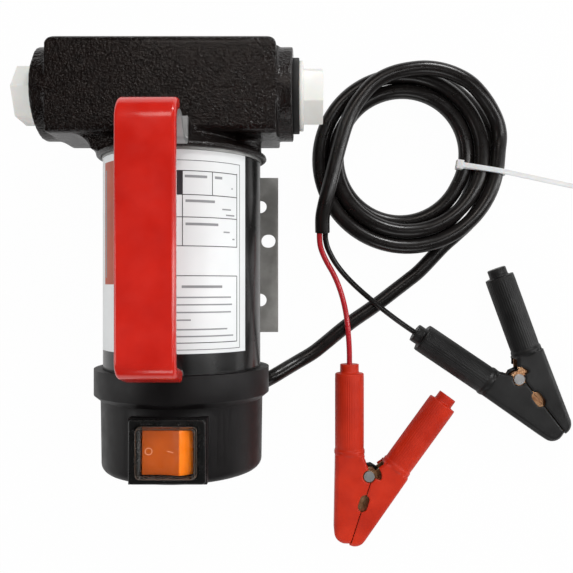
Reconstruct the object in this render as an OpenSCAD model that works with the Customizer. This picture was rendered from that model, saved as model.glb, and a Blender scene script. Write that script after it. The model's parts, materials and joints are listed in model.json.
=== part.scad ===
// Diesel transfer pump with a handle, a bracket, a switch and a clamp lead.
// The pump lies on its bracket: X runs along the ports, Y along the motor axis to the head, Z up.
// The origin is the centre of the four bracket holes, on the mounting plane.

/* [Motor] */
// Height of the motor's underside above the mounting plane
belly_z = 9; // [8:0.5:14]
// Outside radius of the motor tube
tube_r = 36; // [35:0.25:37]
// Wall of the motor tube
tube_wall = 2.4; // [1.8:0.1:2.6]
// Distance from the bracket's middle back to the middle of the motor tube
tube_shift = 11.9; // [9:0.1:14]
// Length of the motor tube
tube_len = 104.2; // [102:0.2:112]
// Radius of the motor shaft
shaft_r = 4; // [3.5:0.25:4.5]
// Outside radius of both ball bearings
bearing_r = 11; // [10:0.5:12]
// Width of both ball bearings
bearing_w = 7; // [6:0.5:7.5]
// Thickness of the front flange's plate
plate_t = 3; // [2.6:0.1:4]

/* [Pump head] */
// Width and depth of the square block
block_w = 41.6; // [40:0.2:46]
// Length of the block between its collars
block_len = 102; // [96:1:110]
// Offset of the block's middle from the motor axis
block_shift = -6.5; // [-8:0.5:-5]
// Radius of the block's long edges
block_round = 3; // [1:0.5:5]
// Distance from the flange face to the block
neck_len = 7.4; // [6:0.2:10]
// Step from the motor tube out to the head's round flange
flange_step = 3; // [2.5:0.25:4]
// Thickness of the head's round flange
flange_t = 2.4; // [2:0.1:3]
// Radius of the port collars
collar_r = 20.8; // [19:0.2:21]
// Length of the port collars
collar_len = 7; // [5:0.5:9]
// Core radius of the port threads
port_r = 12.1; // [11:0.1:13]
// Depth of the port threads
port_depth = 18.5; // [17:0.5:22]

/* [Plugs] */
// Width across the flats of the plug's hexagon
plug_flats = 24; // [22:0.5:26]
// Height of the plug's hexagon
plug_hex_len = 9; // [7:0.5:12]
// Radius of the plug's flange
plug_flange_r = 16; // [15:0.25:16.5]
// Thickness of the plug's flange
plug_flange_t = 1.9; // [1.4:0.1:2.6]
// Length of the plug's thread
plug_shank_len = 12; // [9:0.5:13]
// Wall of the hollow plug
plug_wall = 2.6; // [2:0.1:3.4]

/* [Bypass valve] */
// Radius of the valve bore
bypass_r = 6; // [5.5:0.25:6.25]
// Lift of the poppet
bypass_lift = 4; // [3:0.5:5]
// Width across the flats of the bypass cap
bypass_flats = 17; // [16:0.5:19]
// Height of the bypass cap's hexagon
bypass_hex_len = 5.5; // [4:0.5:7]

/* [End cap] */
// Length of the cap's rim over the tube
rim_len = 11.6; // [11:0.2:14]
// Step from the motor tube out to the rim
rim_step = 4; // [3.75:0.25:6]
// Length of the cap from its rim edge to its end face
cap_len = 46.5; // [46:0.5:52]
// Step from the motor tube out to the cap's body
cap_step = 1; // [1:0.25:2]
// Wall of the cap
cap_wall = 3.4; // [2.6:0.2:3.6]
// Radius of the edge round the end face
cap_round = 4; // [2:0.5:6]

/* [Switch] */
// Width of the switch bezel
bezel_w = 32; // [31:0.5:34]
// Height of the switch bezel
bezel_h = 26.8; // [26.4:0.2:28]
// Thickness of the switch bezel
bezel_t = 2; // [1.5:0.1:3]
// Step from the motor tube up to the bezel's seat
bezel_step = 3; // [2.5:0.25:6]
// Length of the rocker
rocker_len = 20.4; // [19:0.2:21]
// Width of the rocker
rocker_w = 19; // [18:0.2:19.2]
// Travel of the rocker in degrees
rocker_travel = 20; // [14:1:24]

/* [Handle] */
// Width of the steel strap
strap_w = 18; // [16:0.5:20]
// Thickness of the steel strap
strap_t = 2.2; // [1.8:0.1:2.4]
// Wall of the dipped grip
grip_wall = 1.3; // [1:0.1:2]
// Height of the strap's long run above the motor tube
handle_rise = 41.7; // [34:0.1:49]
// Bend radius at the head end of the long run
bend_front = 7.5; // [6:0.5:8]
// Bend radius at the cap end of the long run
bend_rear = 4; // [4:0.5:7]

/* [Bracket] */
// Length by which the bracket is shorter than the motor tube
bracket_short = 23.2; // [18:0.2:26]
// Width of the bracket
bracket_w = 85; // [82:1:92]
// Thickness of the bracket's steel
bracket_t = 2.5; // [2:0.1:3]
// Distance between bolt holes across the motor
bolt_dx = 66.4; // [65:0.2:68]
// Distance between bolt holes along the motor
bolt_dy = 49; // [45:0.5:55]
// Radius of the bolt holes
bolt_r = 3.3; // [2.7:0.1:3.5]

/* [Cable] */
// Radius of the power cable's sheath
cable_r = 3.7; // [3.4:0.1:3.7]
// Radius of the two loose wires
wire_r = 1.4; // [1.1:0.1:1.4]
// Radius of the coil's outermost loop, to the cable's middle
coil_r = 47.5; // [46:0.5:49]
// Width of the cable tie
tie_w = 2.5; // [2.5:0.1:4.8]

/* [Clamps] */
// Radius of the clamp's handle sleeves
sleeve_r = 7.4; // [7:0.1:7.5]
// Length of the clamp's handle sleeves
sleeve_len = 41.5; // [36:0.5:46]
// Length of the jaws below the rivet
jaw_len = 34.6; // [32:0.2:38]
// Angle between the closed clamp's handles
clamp_angle = 36; // [34:1:40]
// Thickness of the jaw's sheet metal
jaw_t = 1; // [0.8:0.1:1.1]

/* [Clearances] */
// Gap round a turning shaft or pin
running_gap = 0.03; // [0.02:0.01:0.08]
// Gap between pieces that are pushed together
seat_gap = 0.1; // [0.05:0.05:0.15]
// Gap between pieces that slide past each other
slide_gap = 0.3; // [0.2:0.05:0.4]

/* [Hidden] */
$fn = 48;
// How far a cut runs past the face that it opens
over = 1;
// How far joined shapes reach into each other
bond = 0.5;
// Angle between the facets of a bend
bend_step = 10;
saddle_step = 5;

// Motor
axis_z = tube_r + belly_z;
front_y = tube_len / 2 - tube_shift;
tube_in_r = tube_r - tube_wall;
rear_y = front_y - tube_len;
head_y = front_y + plate_t;
spigot_r = tube_in_r - seat_gap;
front_spigot_len = 4.2;
front_boss_len = 5;
boss_wall = 3;
boss_r = bearing_r + boss_wall;
seal_r = 9;
seal_len = 4;
bearing_race = 2.2;
bearing_dish = 0.4;
front_bearing_y = front_y - front_spigot_len - front_boss_len;
tie_inset = 4;
tie_x = tube_in_r - tie_inset;
tie_r = 2;
tie_gap = 0.3;
tie_head_r = 3.5;
tie_head_len = 4;
tie_depth = 10;
magnet_t = 6.4;
magnet_arc = 130;
magnet_front = 22.2;
magnet_rear = 26;
magnet_end_y = front_y - magnet_front;
magnet_len = tube_len - magnet_front - magnet_rear;
air_gap = 0.7;
core_r = tube_in_r - seat_gap - magnet_t - air_gap;
core_inset = 3;
core_len = magnet_len - 2 * core_inset;
core_end_y = magnet_end_y - core_inset;
slot_count = 12;
slot_w = 4.6;
commutator_share = 5 / 11;
commutator_r = core_r * commutator_share;
slot_step = 1;
slot_in_r = commutator_r + slot_step;
slot_lip = 1.6;
slot_mouth = 2;
slot_out_r = core_r - slot_lip;
winding_end = 7.4;
commutator_len = 10.5;
winding_gap = 1;
commutator_y = core_end_y - core_len - winding_end - winding_gap - commutator_len;
segment_gap = 0.5;
segment_depth = 1.4;
shaft_end = 12.2;
shaft_front_y = head_y + shaft_end;

// Rear flange, bearing and brushes
rear_lip = 2.2;
rear_spigot_len = 5;
rear_lip_y = rear_y - rear_lip;
rear_wall = 2.5;
rear_spigot_y = rear_y + rear_spigot_len;
rear_boss_y = rear_spigot_y - bearing_w - rear_wall;
rear_hole_r = 5.5;
brush_plate_t = 2;
brush_plate_gap = 1.6;
brush_plate_edge = 3.3;
brush_plate_r = tube_in_r - brush_plate_gap;
brush_hole_r = 15;
brush_w = 6;
brush_h = 8;
brush_wall = 1.2;
brush_inset = 3.5;
brush_box_gap = 2.2;
brush_share = 0.675;
brush_y = commutator_y + brush_inset;
brush_box_in = commutator_r + brush_box_gap;
brush_box_len = brush_plate_r - brush_box_in - brush_plate_edge;
brush_len = (brush_box_len - brush_wall) * brush_share;

// Pump chamber
chamber_r = 16.5;
chamber_shift = 2;
chamber_len = 13;
chamber_end_y = head_y + chamber_len;
end_gap = 0.1;
rotor_r = chamber_r - chamber_shift - 2 * end_gap;
vane_count = 5;
vane_w = 2;
vane_h = 7;
ring_r = 0.8;
ring_inset = 3.5;
ring_seat_r = tie_x - ring_inset;
kidney_x0 = 11.5;
kidney_x1 = 20;
kidney_h = 8;
passage_r = 10;
bypass_wall = 3;

// Head casting
block_y = head_y + neck_len;
port_y = block_y + block_w / 2;
block_end_y = block_y + block_w;
block_x0 = block_shift - block_len / 2;
block_x1 = block_shift + block_len / 2;
inlet_x = block_x0 - collar_len;
outlet_x = block_x1 + collar_len;
flange_r = tube_r + flange_step;
flange_over = 2;
flange_y = head_y - flange_over;
flange_round = 0.7;
cone_r = block_w / 2;
boss_screw_r = 7;
lug_w = 17;
lug_len = 9.6;
lug_top = flange_r;
web_reach = 8;
web_x = flange_r + web_reach;
web_round = 9;
web_h = 34;
handle_screw_in = 5.2;
handle_screw_y = head_y + handle_screw_in;
handle_screw_r = 2.1;
handle_screw_head_r = 3.8;
handle_screw_head_t = 2.6;
handle_screw_len = 10;

// Seals and strainer
seal_ring_r = 17.3;
outlet_seal_t = 2.9;
inlet_seal_t = 2.6;
seal_recess_r = seal_ring_r + seat_gap;
strainer_r = 9.4;
strainer_wall = 0.8;
strainer_len = 20;
strainer_rim_t = 1.2;
strainer_slots = 6;
strainer_slot_w = 3;

// Bypass valve
bypass_x = block_shift;
bypass_deep = 25.5;
bypass_seat_y = block_end_y - bypass_deep;
bypass_hole_r = 3.5;
bypass_hole_len = 6.5;
bypass_thread_step = 1;
bypass_thread_r = bypass_r + bypass_thread_step;
bypass_thread_len = 9;
bypass_drill_r = 3;
bypass_relief = 8.5;
bypass_relief_y = bypass_seat_y + bypass_relief;
poppet_t = 3;
poppet_skirt = 4;
poppet_wall = 1.3;
poppet_cone = 1.5;
spring_wire_r = 0.6;
spring_turns = 4;

// End cap
rim_over = 9.5;
rim_r = tube_r + rim_step;
cap_r = tube_r + cap_step;
rim_y1 = rear_y + rim_over;
rim_y0 = rim_y1 - rim_len;
cap_y0 = rim_y1 - cap_len;
cap_chamfer = 2.5;
cap_taper = 0.4;
cap_in_r = cap_r - cap_wall;
cap_floor = 3;
rim_bore = tube_r + seat_gap;
post_inset = 11.6;
post_x = cap_in_r - post_inset;
post_drop = 12;
post_r = 4.5;
cap_screw_r = 2;
cap_head_r = 3.6;
cap_head_len = 3;
cap_screw_bite = 5;
tongue_w = 13;
tongue_len = 9;
boss_edge = 0.3;
boss_depth = 16;
outlet_r = 5.8;
outlet_len = 16;
gland_r = 4.6;
gland_len = 3;

// Switch
switch_x = 0.4;
switch_in = 31;
switch_y = rim_y1 - switch_in;
seat_z = axis_z + tube_r + bezel_step;
bezel_z = seat_z + bezel_t;
switch_box_w = 29;
switch_box_h = 24;
switch_box_deep = 18;
switch_well = 9;
rocker_sunk = 2;
rocker_z = seat_z - rocker_sunk;
rocker_edge = 4.2;
rocker_dish = 1.6;
rocker_skirt = 3;
rocker_pin_r = 1;
rocker_pin_len = 1;
rocker_gap = 0.4;
terminal_w = 6.3;
terminal_t = 0.8;
terminal_len = 8;
cover_w = 24.6;
cover_h = 20.9;
cover_wall = 0.6;
cover_rise = 3.9;
cover_lip_t = 0.8;
cover_lip = 2;

// Label
label_t = 0.2;
label_left = 68;
label_right = 58;
label_gap = 0.1;
label_rear_gap = 8.9;
label_len = front_y - rim_y1 - label_gap - label_rear_gap;

// Handle, as points across and up from the motor axis
strap_z = axis_z + tube_r + handle_rise;
foot_z = axis_z + lug_top + strap_t / 2;
foot_out = 0.9;
leg_out_y = 7.1;
leg_out_up = 15.5;
leg_in_up = 8.6;
rear_top_in = 6.4;
rear_knee_in = 3;
rear_knee_down = 14;
rear_leg_w = tongue_w;
foot_tip_y = head_y + lug_len;
foot_bend_y = head_y - foot_out;
leg_top_y = head_y + leg_out_y;
leg_out_z = foot_z + leg_out_up;
leg_in_z = foot_z + leg_in_up;
rear_top_y = rim_y1 + rear_top_in;
rear_knee_y = rim_y1 + rear_knee_in;
rear_knee_z = strap_z - rear_knee_down;
knee_bend = 12;
rear_leg_y = rim_y1 + strap_t / 2 + slide_gap;
tongue_z = axis_z + tube_r + seat_gap + strap_t / 2;
tongue_y = rim_y1 - tongue_len;
leg_bend = 3;
foot_bend = 2.2;
grip_front_z = strap_z - bend_front;
grip_over = 1;

// Bracket
bracket_y = -0.8;
bracket_len = tube_len - bracket_short;
bracket_bend = 3.5;
saddle_arc = 60;
saddle_gap = 0.15;
saddle_run = 4.3;
saddle_toe = 2.5;
saddle_r = tube_r + saddle_gap + bracket_t / 2;
saddle_top_x = saddle_r * sin(saddle_arc / 2) + saddle_run;
saddle_foot_x = saddle_top_x + saddle_toe;
slot_x = 37.4;
slot_y = 6.5;
slot_r = 3.45;
slot_run = 0.6;

// Cable, coil and tie
coil_x = 107.7;
coil_y = 48.6;
coil_gap = 0.6;
tie_t = 0.8;
tie_gap_in = 0.2;
coil_pitch = 2 * cable_r + coil_gap;
coil_start = -48;
coil_turns = 4.12;
coil_rings = 24;
coil_sides = 6;
coil_lift = tie_t + 2 * tie_gap_in;
coil_z = cable_r + coil_lift;
tie_angle = -9;
tie_head = 4.5;
tie_head_t = 3.4;
tie_tail_t = 0.8;
tie_tail_run = 42;
tie_tail_drop = 11;
tie_tail_bend = 12;
cable_sides = 10;
wire_sides = 8;

// Clamps, drawn with the rivet at the origin, the jaws towards -Y and the sheet's middle at height zero
clamp_z = 7.6;
arm_x = 9.75;
collar_y = 10.6;
sleeve_gap = 0.6;
sleeve_top = collar_y + sleeve_len;
neck_r = 4.85;
neck_len_clamp = 4.6;
sleeve_wall = 1.5;
collar_ring_step = 0.5;
collar_ring_r = sleeve_r + collar_ring_step;
collar_ring_len = 2;
cover_half = 7.2;
cover_skin = 1.3;
cover_bevel = 1.6;
cover_out_x = 0.7;
cover_tip_r = 6;
cover_tip_in = 8;
cover_hub_x = 1.6;
cover_mid_x = 2.2;
cover_mid_y = 6;
seam_x = 1.5;
seam_gap = 0.3;
hub_r = 4.2;
hub_cut_r = 6.3;
rivet_r = 1.6;
rivet_head_r = 2.7;
rivet_head_t = 0.9;
rivet_cut_r = 3.2;
wired_half = 5.8;
jaw_side_gap = 0.2;
hinged_half = wired_half - jaw_t - jaw_side_gap;
tang_w = 8.6;
tang_len = 34;
tooth = 1.5;
tooth_count = 5;
torsion_r = 5.1;
torsion_wire_r = 0.7;
torsion_pitch = 1.9;
torsion_turns = 2;
torsion_leg = 13;
eye_y = 14;
eye_r = 2.4;
eye_run = 3.8;
red_clamp = [89.5, -114.2, -18];
black_clamp = [166, -64.7, 38];

// Route of the power cable from its gland to the coil
lead_route = [
    [34, -66.8, 12.5], [40.6, -63.3, 12.5], [47.4, -59.6, 8.4], [54, -56, 5.2],
    [61, -51.9, 4], [68, -46.4, 3.8], [75, -40.6, 3.8], [82, -35.2, 3.8], [89, -30.4, 3.8],
    [96, -25.4, 3.8], [103, -20, 3.8], [110, -14.6, 3.9], [117, -8.8, 4.3]];
// Route of the cable's last stretch, from the coil over its loops to the end of the sheath
tail_route = [
    [154.6, 66, 14.4], [150.6, 72.6, 17.2], [145.2, 79, 19.8], [139.2, 84.6, 20.9], [132, 88.6, 21],
    [124.6, 91, 21], [117, 91.9, 21], [109.4, 91.3, 21], [102.2, 89.8, 21], [95.8, 87.2, 21],
    [90.4, 83.6, 21], [85.6, 78.4, 21], [81, 71.8, 21], [77.4, 64, 21], [74.6, 55, 21],
    [72.2, 46, 21], [70, 37, 21], [68.2, 29.6, 20.8], [66.6, 23, 20], [65.6, 17.3, 18.7],
    [65.6, 10, 16.9]];
// Route of the red wire, from the sheath to its clamp
red_route = [
    [64.1, 10, 16.9], [64.1, 7, 16.16], [64.6, 3, 15.1], [66, -1, 13.8], [68.2, -5.4, 12.3], [71.4, -11, 10.8],
    [74.2, -17.4, 9.8], [76.4, -24.4, 9.2], [77.9, -31.6, 9.5], [78.8, -39, 9.5],
    [79.4, -46, 8.9], [79.7, -52, 8], [79.75, -57.4, 7.6]];
// Route of the black wire, from the sheath to its clamp
black_route = [
    [67.1, 10, 16.9], [67.1, 7, 16.16], [68, 3, 15.1], [69.6, -0.6, 14], [72, -4.8, 12.6], [75.6, -9.6, 11.2],
    [79.8, -14.2, 10.2], [84.4, -18.6, 9.6], [89.2, -22.8, 9.5], [94, -26.8, 9.5],
    [98.8, -30.6, 9.2], [103.6, -34.2, 8.5], [108.4, -37.6, 7.8], [113.4, -41, 7.6]];

// Unit vector along v
function unit(v) = v / norm(v);

// Vector in the plane, a quarter turn left of v
function left_of(v) = [-v[1], v[0]];

// Vector in the plane, turned by an angle
function turned_by(v, angle) = [v[0] * cos(angle) - v[1] * sin(angle), v[0] * sin(angle) + v[1] * cos(angle)];

// First two coordinates of a point
function flat(p) = [p[0], p[1]];

// Rows of [point, direction] round one bend of radius b[2] at corner b, in steps of b[3] degrees if given
function bend_rows(a, b, c) =
    let (u = unit(flat(b) - flat(a)), v = unit(flat(c) - flat(b)),
         turn = atan2(cross(u, v), u * v), side = sign(turn),
         start = flat(b) - u * b[2] * tan(abs(turn) / 2),
         centre = start + side * b[2] * left_of(u),
         steps = max(2, ceil(abs(turn) / (len(b) > 3 ? b[3] : bend_step))))
    [for (i = [0:steps]) let (d = turned_by(u, turn * i / steps)) [centre - side * b[2] * left_of(d), d]];

// Outline of a strip of even thickness along a path of points [x, y, bend radius]
function strip_outline(path, thickness) =
    let (last = len(path) - 1,
         first_row = [[flat(path[0]), unit(flat(path[1]) - flat(path[0]))]],
         last_row = [[flat(path[last]), unit(flat(path[last]) - flat(path[last - 1]))]],
         bends = [for (i = [1:last - 1]) each bend_rows(path[i - 1], path[i], path[i + 1])],
         rows = concat(first_row, bends, last_row))
    concat([for (row = rows) row[0] + left_of(row[1]) * thickness / 2],
        [for (i = [len(rows) - 1:-1:0]) rows[i][0] - left_of(rows[i][1]) * thickness / 2]);

// Direction of a route at its point i
function route_dir(path, i) = unit(path[min(i + 1, len(path) - 1)] - path[max(i - 1, 0)]);

// Points of the rings of a round tube along a route
function ring_points(path, r, sides) =
    [for (i = [0:len(path) - 1])
        let (d = route_dir(path, i), side = unit(cross(d, [0, 0, 1])), up = cross(side, d))
        for (k = [0:sides - 1]) path[i] + r * (cos(360 * k / sides) * side + sin(360 * k / sides) * up)];

// Triangles that close such a tube
function ring_faces(rings, sides) =
    concat([for (i = [0:rings - 2]) for (k = [0:sides - 1])
                let (a = i * sides + k, b = i * sides + (k + 1) % sides)
                each [[a, b, a + sides], [b, b + sides, a + sides]]],
        [for (k = [1:sides - 2]) [0, k + 1, k]],
        [for (k = [1:sides - 2]) let (e = (rings - 1) * sides) [e, e + k, e + k + 1]]);

// Round tube swept along a route
module swept_tube(path, r, sides) {
    polyhedron(points = ring_points(path, r, sides), faces = ring_faces(len(path), sides), convexity = 10);
}

// Anything turned about the motor axis
module on_axis(y) {
    translate([0, y, axis_z]) rotate([-90, 0, 0]) children();
}

// Solid of revolution about the motor axis, from points [radius, y]
module turned(outline) {
    on_axis(0) rotate_extrude($fn = 96) polygon(outline);
}

// Cylinder along the motor axis, or beside it
module rod_y(r, y0, y1, x = 0, drop = 0) {
    translate([x, y0, axis_z - drop]) rotate([-90, 0, 0]) cylinder(h = y1 - y0, r = r);
}

// Cylinder along the ports
module rod_x(r, x0, x1, y = port_y) {
    translate([x0, y, axis_z]) rotate([0, 90, 0]) cylinder(h = x1 - x0, r = r);
}

// Square with rounded corners, centred
module rounded_square(w, h, r) {
    square([w - 2 * r, h], center = true);
    square([w, h - 2 * r], center = true);
    for (x = [-1, 1]) for (y = [-1, 1]) translate([x * (w / 2 - r), y * (h / 2 - r)]) circle(r);
}

// Sheet outline in the plane of Y and Z, widened along X
module bent_plate(outline, width) {
    rotate([90, 0, 90]) linear_extrude(width, center = true) polygon(outline);
}

// Box centred in X and Y that stands on z0
module centred_box(x, y, z0, w, h, z1) {
    translate([x - w / 2, y - h / 2, z0]) cube([w, h, z1 - z0]);
}

// The two or more places of the tie bolts
module at_tie_bolts() {
    for (x = [-tie_x, tie_x]) translate([x, 0, 0]) children();
}

// The places of the cap screws
module at_cap_screws() {
    for (x = [-post_x, post_x]) translate([x, 0, -post_drop]) children();
}

// Helix along Z as a tube's route, with its middle at height zero
function helix(r, pitch, turns, rings) =
    [for (i = [0:turns * rings]) [r * cos(360 * i / rings), r * sin(360 * i / rings),
        pitch * (i / rings - turns / 2)]];

// Least distance between helix turns, less the wire
function helix_gap(pitch, wire_r) = pitch - 2 * wire_r;

// Web that fills the corner between the block and the neck, with a hollow round corner
module head_web() {
    corner = [-web_x, block_y - web_round];
    translate([0, 0, axis_z - web_h / 2]) linear_extrude(web_h)
        polygon(concat([[0, head_y], [0, block_y + bond], [-web_x - bond, block_y + bond]],
            [for (a = [90:-15:15]) corner + web_round * [cos(a), sin(a)]], [[-tube_r, head_y]]));
}

module pump_head() {
    ring_in_r = tube_r + bond + seat_gap;
    shoulder = [
        [0, head_y], [ring_in_r, head_y], [ring_in_r, flange_y], [flange_r - flange_round, flange_y],
        [flange_r, flange_y + flange_round], [flange_r, flange_y + flange_t - flange_round],
        [flange_r - flange_round, flange_y + flange_t], [cone_r, block_y + bond], [0, block_y + bond]];
    color([0.09, 0.09, 0.09]) difference() {
        union() {
            translate([block_x0, port_y, axis_z]) rotate([0, 90, 0])
                linear_extrude(block_len) rounded_square(block_w, block_w, block_round);
            rod_x(collar_r, inlet_x, block_x0 + bond);
            rod_x(collar_r, block_x1 - bond, outlet_x);
            turned(shoulder);
            head_web();
            at_tie_bolts() rod_y(boss_screw_r, head_y, block_y + bond);
            translate([-lug_w / 2, head_y, axis_z]) cube([lug_w, lug_len, lug_top]);
        }
        rod_y(chamber_r, head_y - over, chamber_end_y, 0, chamber_shift);
        rod_x(port_r, inlet_x - over, inlet_x + port_depth);
        rod_x(port_r, outlet_x - port_depth, outlet_x + over);
        rod_x(seal_recess_r, inlet_x - over, inlet_x + inlet_seal_t);
        rod_x(passage_r, inlet_x + port_depth - bond, bypass_x - bypass_r - bypass_wall);
        rod_x(passage_r, bypass_x + bypass_r + bypass_wall, outlet_x - port_depth + bond);
        for (x = [-kidney_x1, kidney_x0])
            translate([x, chamber_end_y - bond, axis_z - kidney_h / 2])
                cube([kidney_x1 - kidney_x0, port_y - passage_r / 2 - chamber_end_y, kidney_h]);
        rod_y(bypass_r, bypass_seat_y, block_end_y + over, bypass_x);
        rod_y(bypass_thread_r, block_end_y - bypass_thread_len, block_end_y + over, bypass_x);
        rod_y(bypass_hole_r, bypass_seat_y - bypass_hole_len, bypass_seat_y + bond, bypass_x);
        rod_x(bypass_drill_r, bypass_x, bypass_x + bypass_r + bypass_wall + over,
            bypass_seat_y - bypass_drill_r);
        rod_x(bypass_hole_r, bypass_x - bypass_r - bypass_wall - over, bypass_x, bypass_relief_y);
        at_tie_bolts() rod_y(tie_r + running_gap, head_y - over, head_y + tie_depth);
        translate([0, handle_screw_y, axis_z + lug_top - handle_screw_len])
            cylinder(h = handle_screw_len + over, r = handle_screw_r + running_gap);
    }
}

// Plug along X with its seat at the origin and its hexagon towards +X
module plug(turn) {
    bore_r = port_r - seat_gap - plug_wall;
    difference() {
        union() {
            rotate([0, 90, 0]) cylinder(h = plug_flange_t, r = plug_flange_r);
            translate([-plug_shank_len, 0, 0]) rotate([0, 90, 0])
                cylinder(h = plug_shank_len + bond, r = port_r - seat_gap);
            rotate([turn, 0, 0]) translate([plug_flange_t - bond, 0, 0]) rotate([0, 90, 0])
                cylinder(h = plug_hex_len + bond, r = plug_flats / sqrt(3), $fn = 6);
        }
        translate([-plug_shank_len - over, 0, 0]) rotate([0, 90, 0])
            cylinder(h = plug_shank_len + over + plug_flange_t + plug_hex_len - plug_wall, r = bore_r);
    }
}

module inlet_plug() {
    color([0.93, 0.94, 0.92]) translate([inlet_x, port_y, axis_z]) rotate([0, 0, 180]) plug(6);
}

module outlet_plug() {
    color([0.93, 0.94, 0.92]) translate([outlet_x + outlet_seal_t, port_y, axis_z]) plug(21);
}

// Flat rubber ring along X
module rubber_ring(x, t) {
    translate([x, port_y, axis_z]) rotate([0, 90, 0]) difference() {
        cylinder(h = t, r = seal_ring_r);
        translate([0, 0, -over]) cylinder(h = t + 2 * over, r = port_r + seat_gap);
    }
}

module inlet_seal() {
    color([0.12, 0.12, 0.12]) rubber_ring(inlet_x, inlet_seal_t);
}

module outlet_seal() {
    color([0.12, 0.12, 0.12]) rubber_ring(outlet_x, outlet_seal_t);
}

module inlet_strainer() {
    rim_x = inlet_x + plug_shank_len + seat_gap;
    color([0.72, 0.72, 0.7]) difference() {
        union() {
            rod_x(port_r - seat_gap, rim_x, rim_x + strainer_rim_t);
            rod_x(strainer_r, rim_x, rim_x + strainer_len);
        }
        rod_x(strainer_r - strainer_wall, rim_x - over, rim_x + strainer_len - strainer_wall);
        for (i = [0:strainer_slots - 1]) translate([rim_x + strainer_len / 2, port_y, axis_z])
            rotate([360 * i / strainer_slots, 0, 0])
                translate([0, -strainer_slot_w / 2, strainer_r / 2])
                    cube([strainer_len / 2 - 2 * strainer_wall, strainer_slot_w, strainer_r]);
    }
}

module bypass_poppet() {
    top = bypass_seat_y + poppet_t + poppet_skirt;
    color([0.78, 0.63, 0.3]) difference() {
        union() {
            rod_y(bypass_r - seat_gap, bypass_seat_y, top, bypass_x);
            translate([bypass_x, bypass_seat_y - poppet_cone, axis_z]) rotate([-90, 0, 0])
                cylinder(h = poppet_cone + bond, r1 = bypass_hole_r / 2, r2 = bypass_hole_r - seat_gap);
        }
        rod_y(bypass_r - seat_gap - poppet_wall, bypass_seat_y + poppet_t, top + over, bypass_x);
    }
}

bypass_spring_y0 = bypass_seat_y + poppet_t + spring_wire_r;
bypass_spring_y1 = block_end_y - bypass_thread_len - spring_wire_r;
bypass_spring_r = bypass_r - seat_gap - poppet_wall - spring_wire_r - slide_gap / 2;
bypass_spring_pitch = (bypass_spring_y1 - bypass_spring_y0) / spring_turns;
echo(bypass_spring_gap = helix_gap(bypass_spring_pitch, spring_wire_r));

module bypass_spring() {
    color([0.6, 0.6, 0.62]) translate([bypass_x, (bypass_spring_y0 + bypass_spring_y1) / 2, axis_z])
        rotate([-90, 0, 0])
            swept_tube(helix(bypass_spring_r, bypass_spring_pitch, spring_turns, 8), spring_wire_r, 6);
}

module bypass_cap() {
    color([0.55, 0.55, 0.53]) {
        rod_y(bypass_thread_r - seat_gap, block_end_y - bypass_thread_len, block_end_y + bond, bypass_x);
        translate([bypass_x, block_end_y, axis_z]) rotate([-90, 0, 0])
            cylinder(h = bypass_hex_len, r = bypass_flats / sqrt(3), $fn = 6);
    }
}

module at_vanes() {
    for (i = [0:vane_count - 1]) on_axis(head_y + end_gap) rotate([0, 0, 360 * i / vane_count]) children();
}

module pump_rotor() {
    rotor_len = chamber_len - 2 * end_gap;
    color([0.62, 0.62, 0.6]) difference() {
        rod_y(rotor_r, head_y + end_gap, head_y + end_gap + rotor_len);
        rod_y(shaft_r + running_gap, head_y - over, head_y + chamber_len + over);
        at_vanes() translate([rotor_r - vane_h - seat_gap, -vane_w / 2 - seat_gap, -over])
            cube([vane_h + over, vane_w + 2 * seat_gap, rotor_len + 2 * over]);
    }
}

module pump_vanes() {
    color([0.25, 0.24, 0.23]) at_vanes() translate([rotor_r - vane_h, -vane_w / 2, 0])
        cube([vane_h - seat_gap, vane_w, chamber_len - 2 * end_gap]);
}

module chamber_o_ring() {
    color([0.1, 0.1, 0.1]) on_axis(head_y - ring_r) rotate_extrude($fn = 96)
        translate([ring_seat_r, 0]) circle(ring_r, $fn = 24);
}

module front_flange() {
    seal_y = front_bearing_y + bearing_w + seat_gap;
    profile = [
        [shaft_r + tie_gap, head_y], [tube_r + bond, head_y], [tube_r + bond, front_y],
        [spigot_r, front_y], [spigot_r, front_y - front_spigot_len],
        [boss_r, front_y - front_spigot_len], [boss_r, front_bearing_y], [bearing_r, front_bearing_y],
        [bearing_r, seal_y], [seal_r, seal_y], [seal_r, seal_y + seal_len],
        [shaft_r + tie_gap, seal_y + seal_len]];
    color([0.35, 0.35, 0.35]) difference() {
        turned(profile);
        at_tie_bolts() rod_y(tie_r + tie_gap, front_y - front_spigot_len - over, head_y + over);
        on_axis(head_y - 2 * ring_r) rotate_extrude($fn = 96)
            translate([ring_seat_r - ring_r - seat_gap, 0]) square([2 * (ring_r + seat_gap), 2 * ring_r + over]);
    }
}

module shaft_seal() {
    y = front_bearing_y + bearing_w + seat_gap;
    color([0.15, 0.15, 0.15]) turned([
        [shaft_r + running_gap, y + seal_len / 3], [seal_r, y], [seal_r, y + seal_len],
        [shaft_r + running_gap, y + seal_len]]);
}

// Ball bearing with dished shields
module bearing(y) {
    in_r = shaft_r + running_gap;
    color([0.75, 0.76, 0.78]) turned([
        [in_r, y], [in_r + bearing_race, y], [in_r + bearing_race, y + bearing_dish],
        [bearing_r - bearing_race, y + bearing_dish], [bearing_r - bearing_race, y], [bearing_r, y],
        [bearing_r, y + bearing_w], [bearing_r - bearing_race, y + bearing_w],
        [bearing_r - bearing_race, y + bearing_w - bearing_dish],
        [in_r + bearing_race, y + bearing_w - bearing_dish], [in_r + bearing_race, y + bearing_w],
        [in_r, y + bearing_w]]);
}

module front_bearing() {
    bearing(front_bearing_y);
}

module motor_tube() {
    color([0.06, 0.06, 0.06]) turned([
        [tube_in_r, rear_y], [tube_r, rear_y], [tube_r, front_y], [tube_in_r, front_y]]);
}

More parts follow.
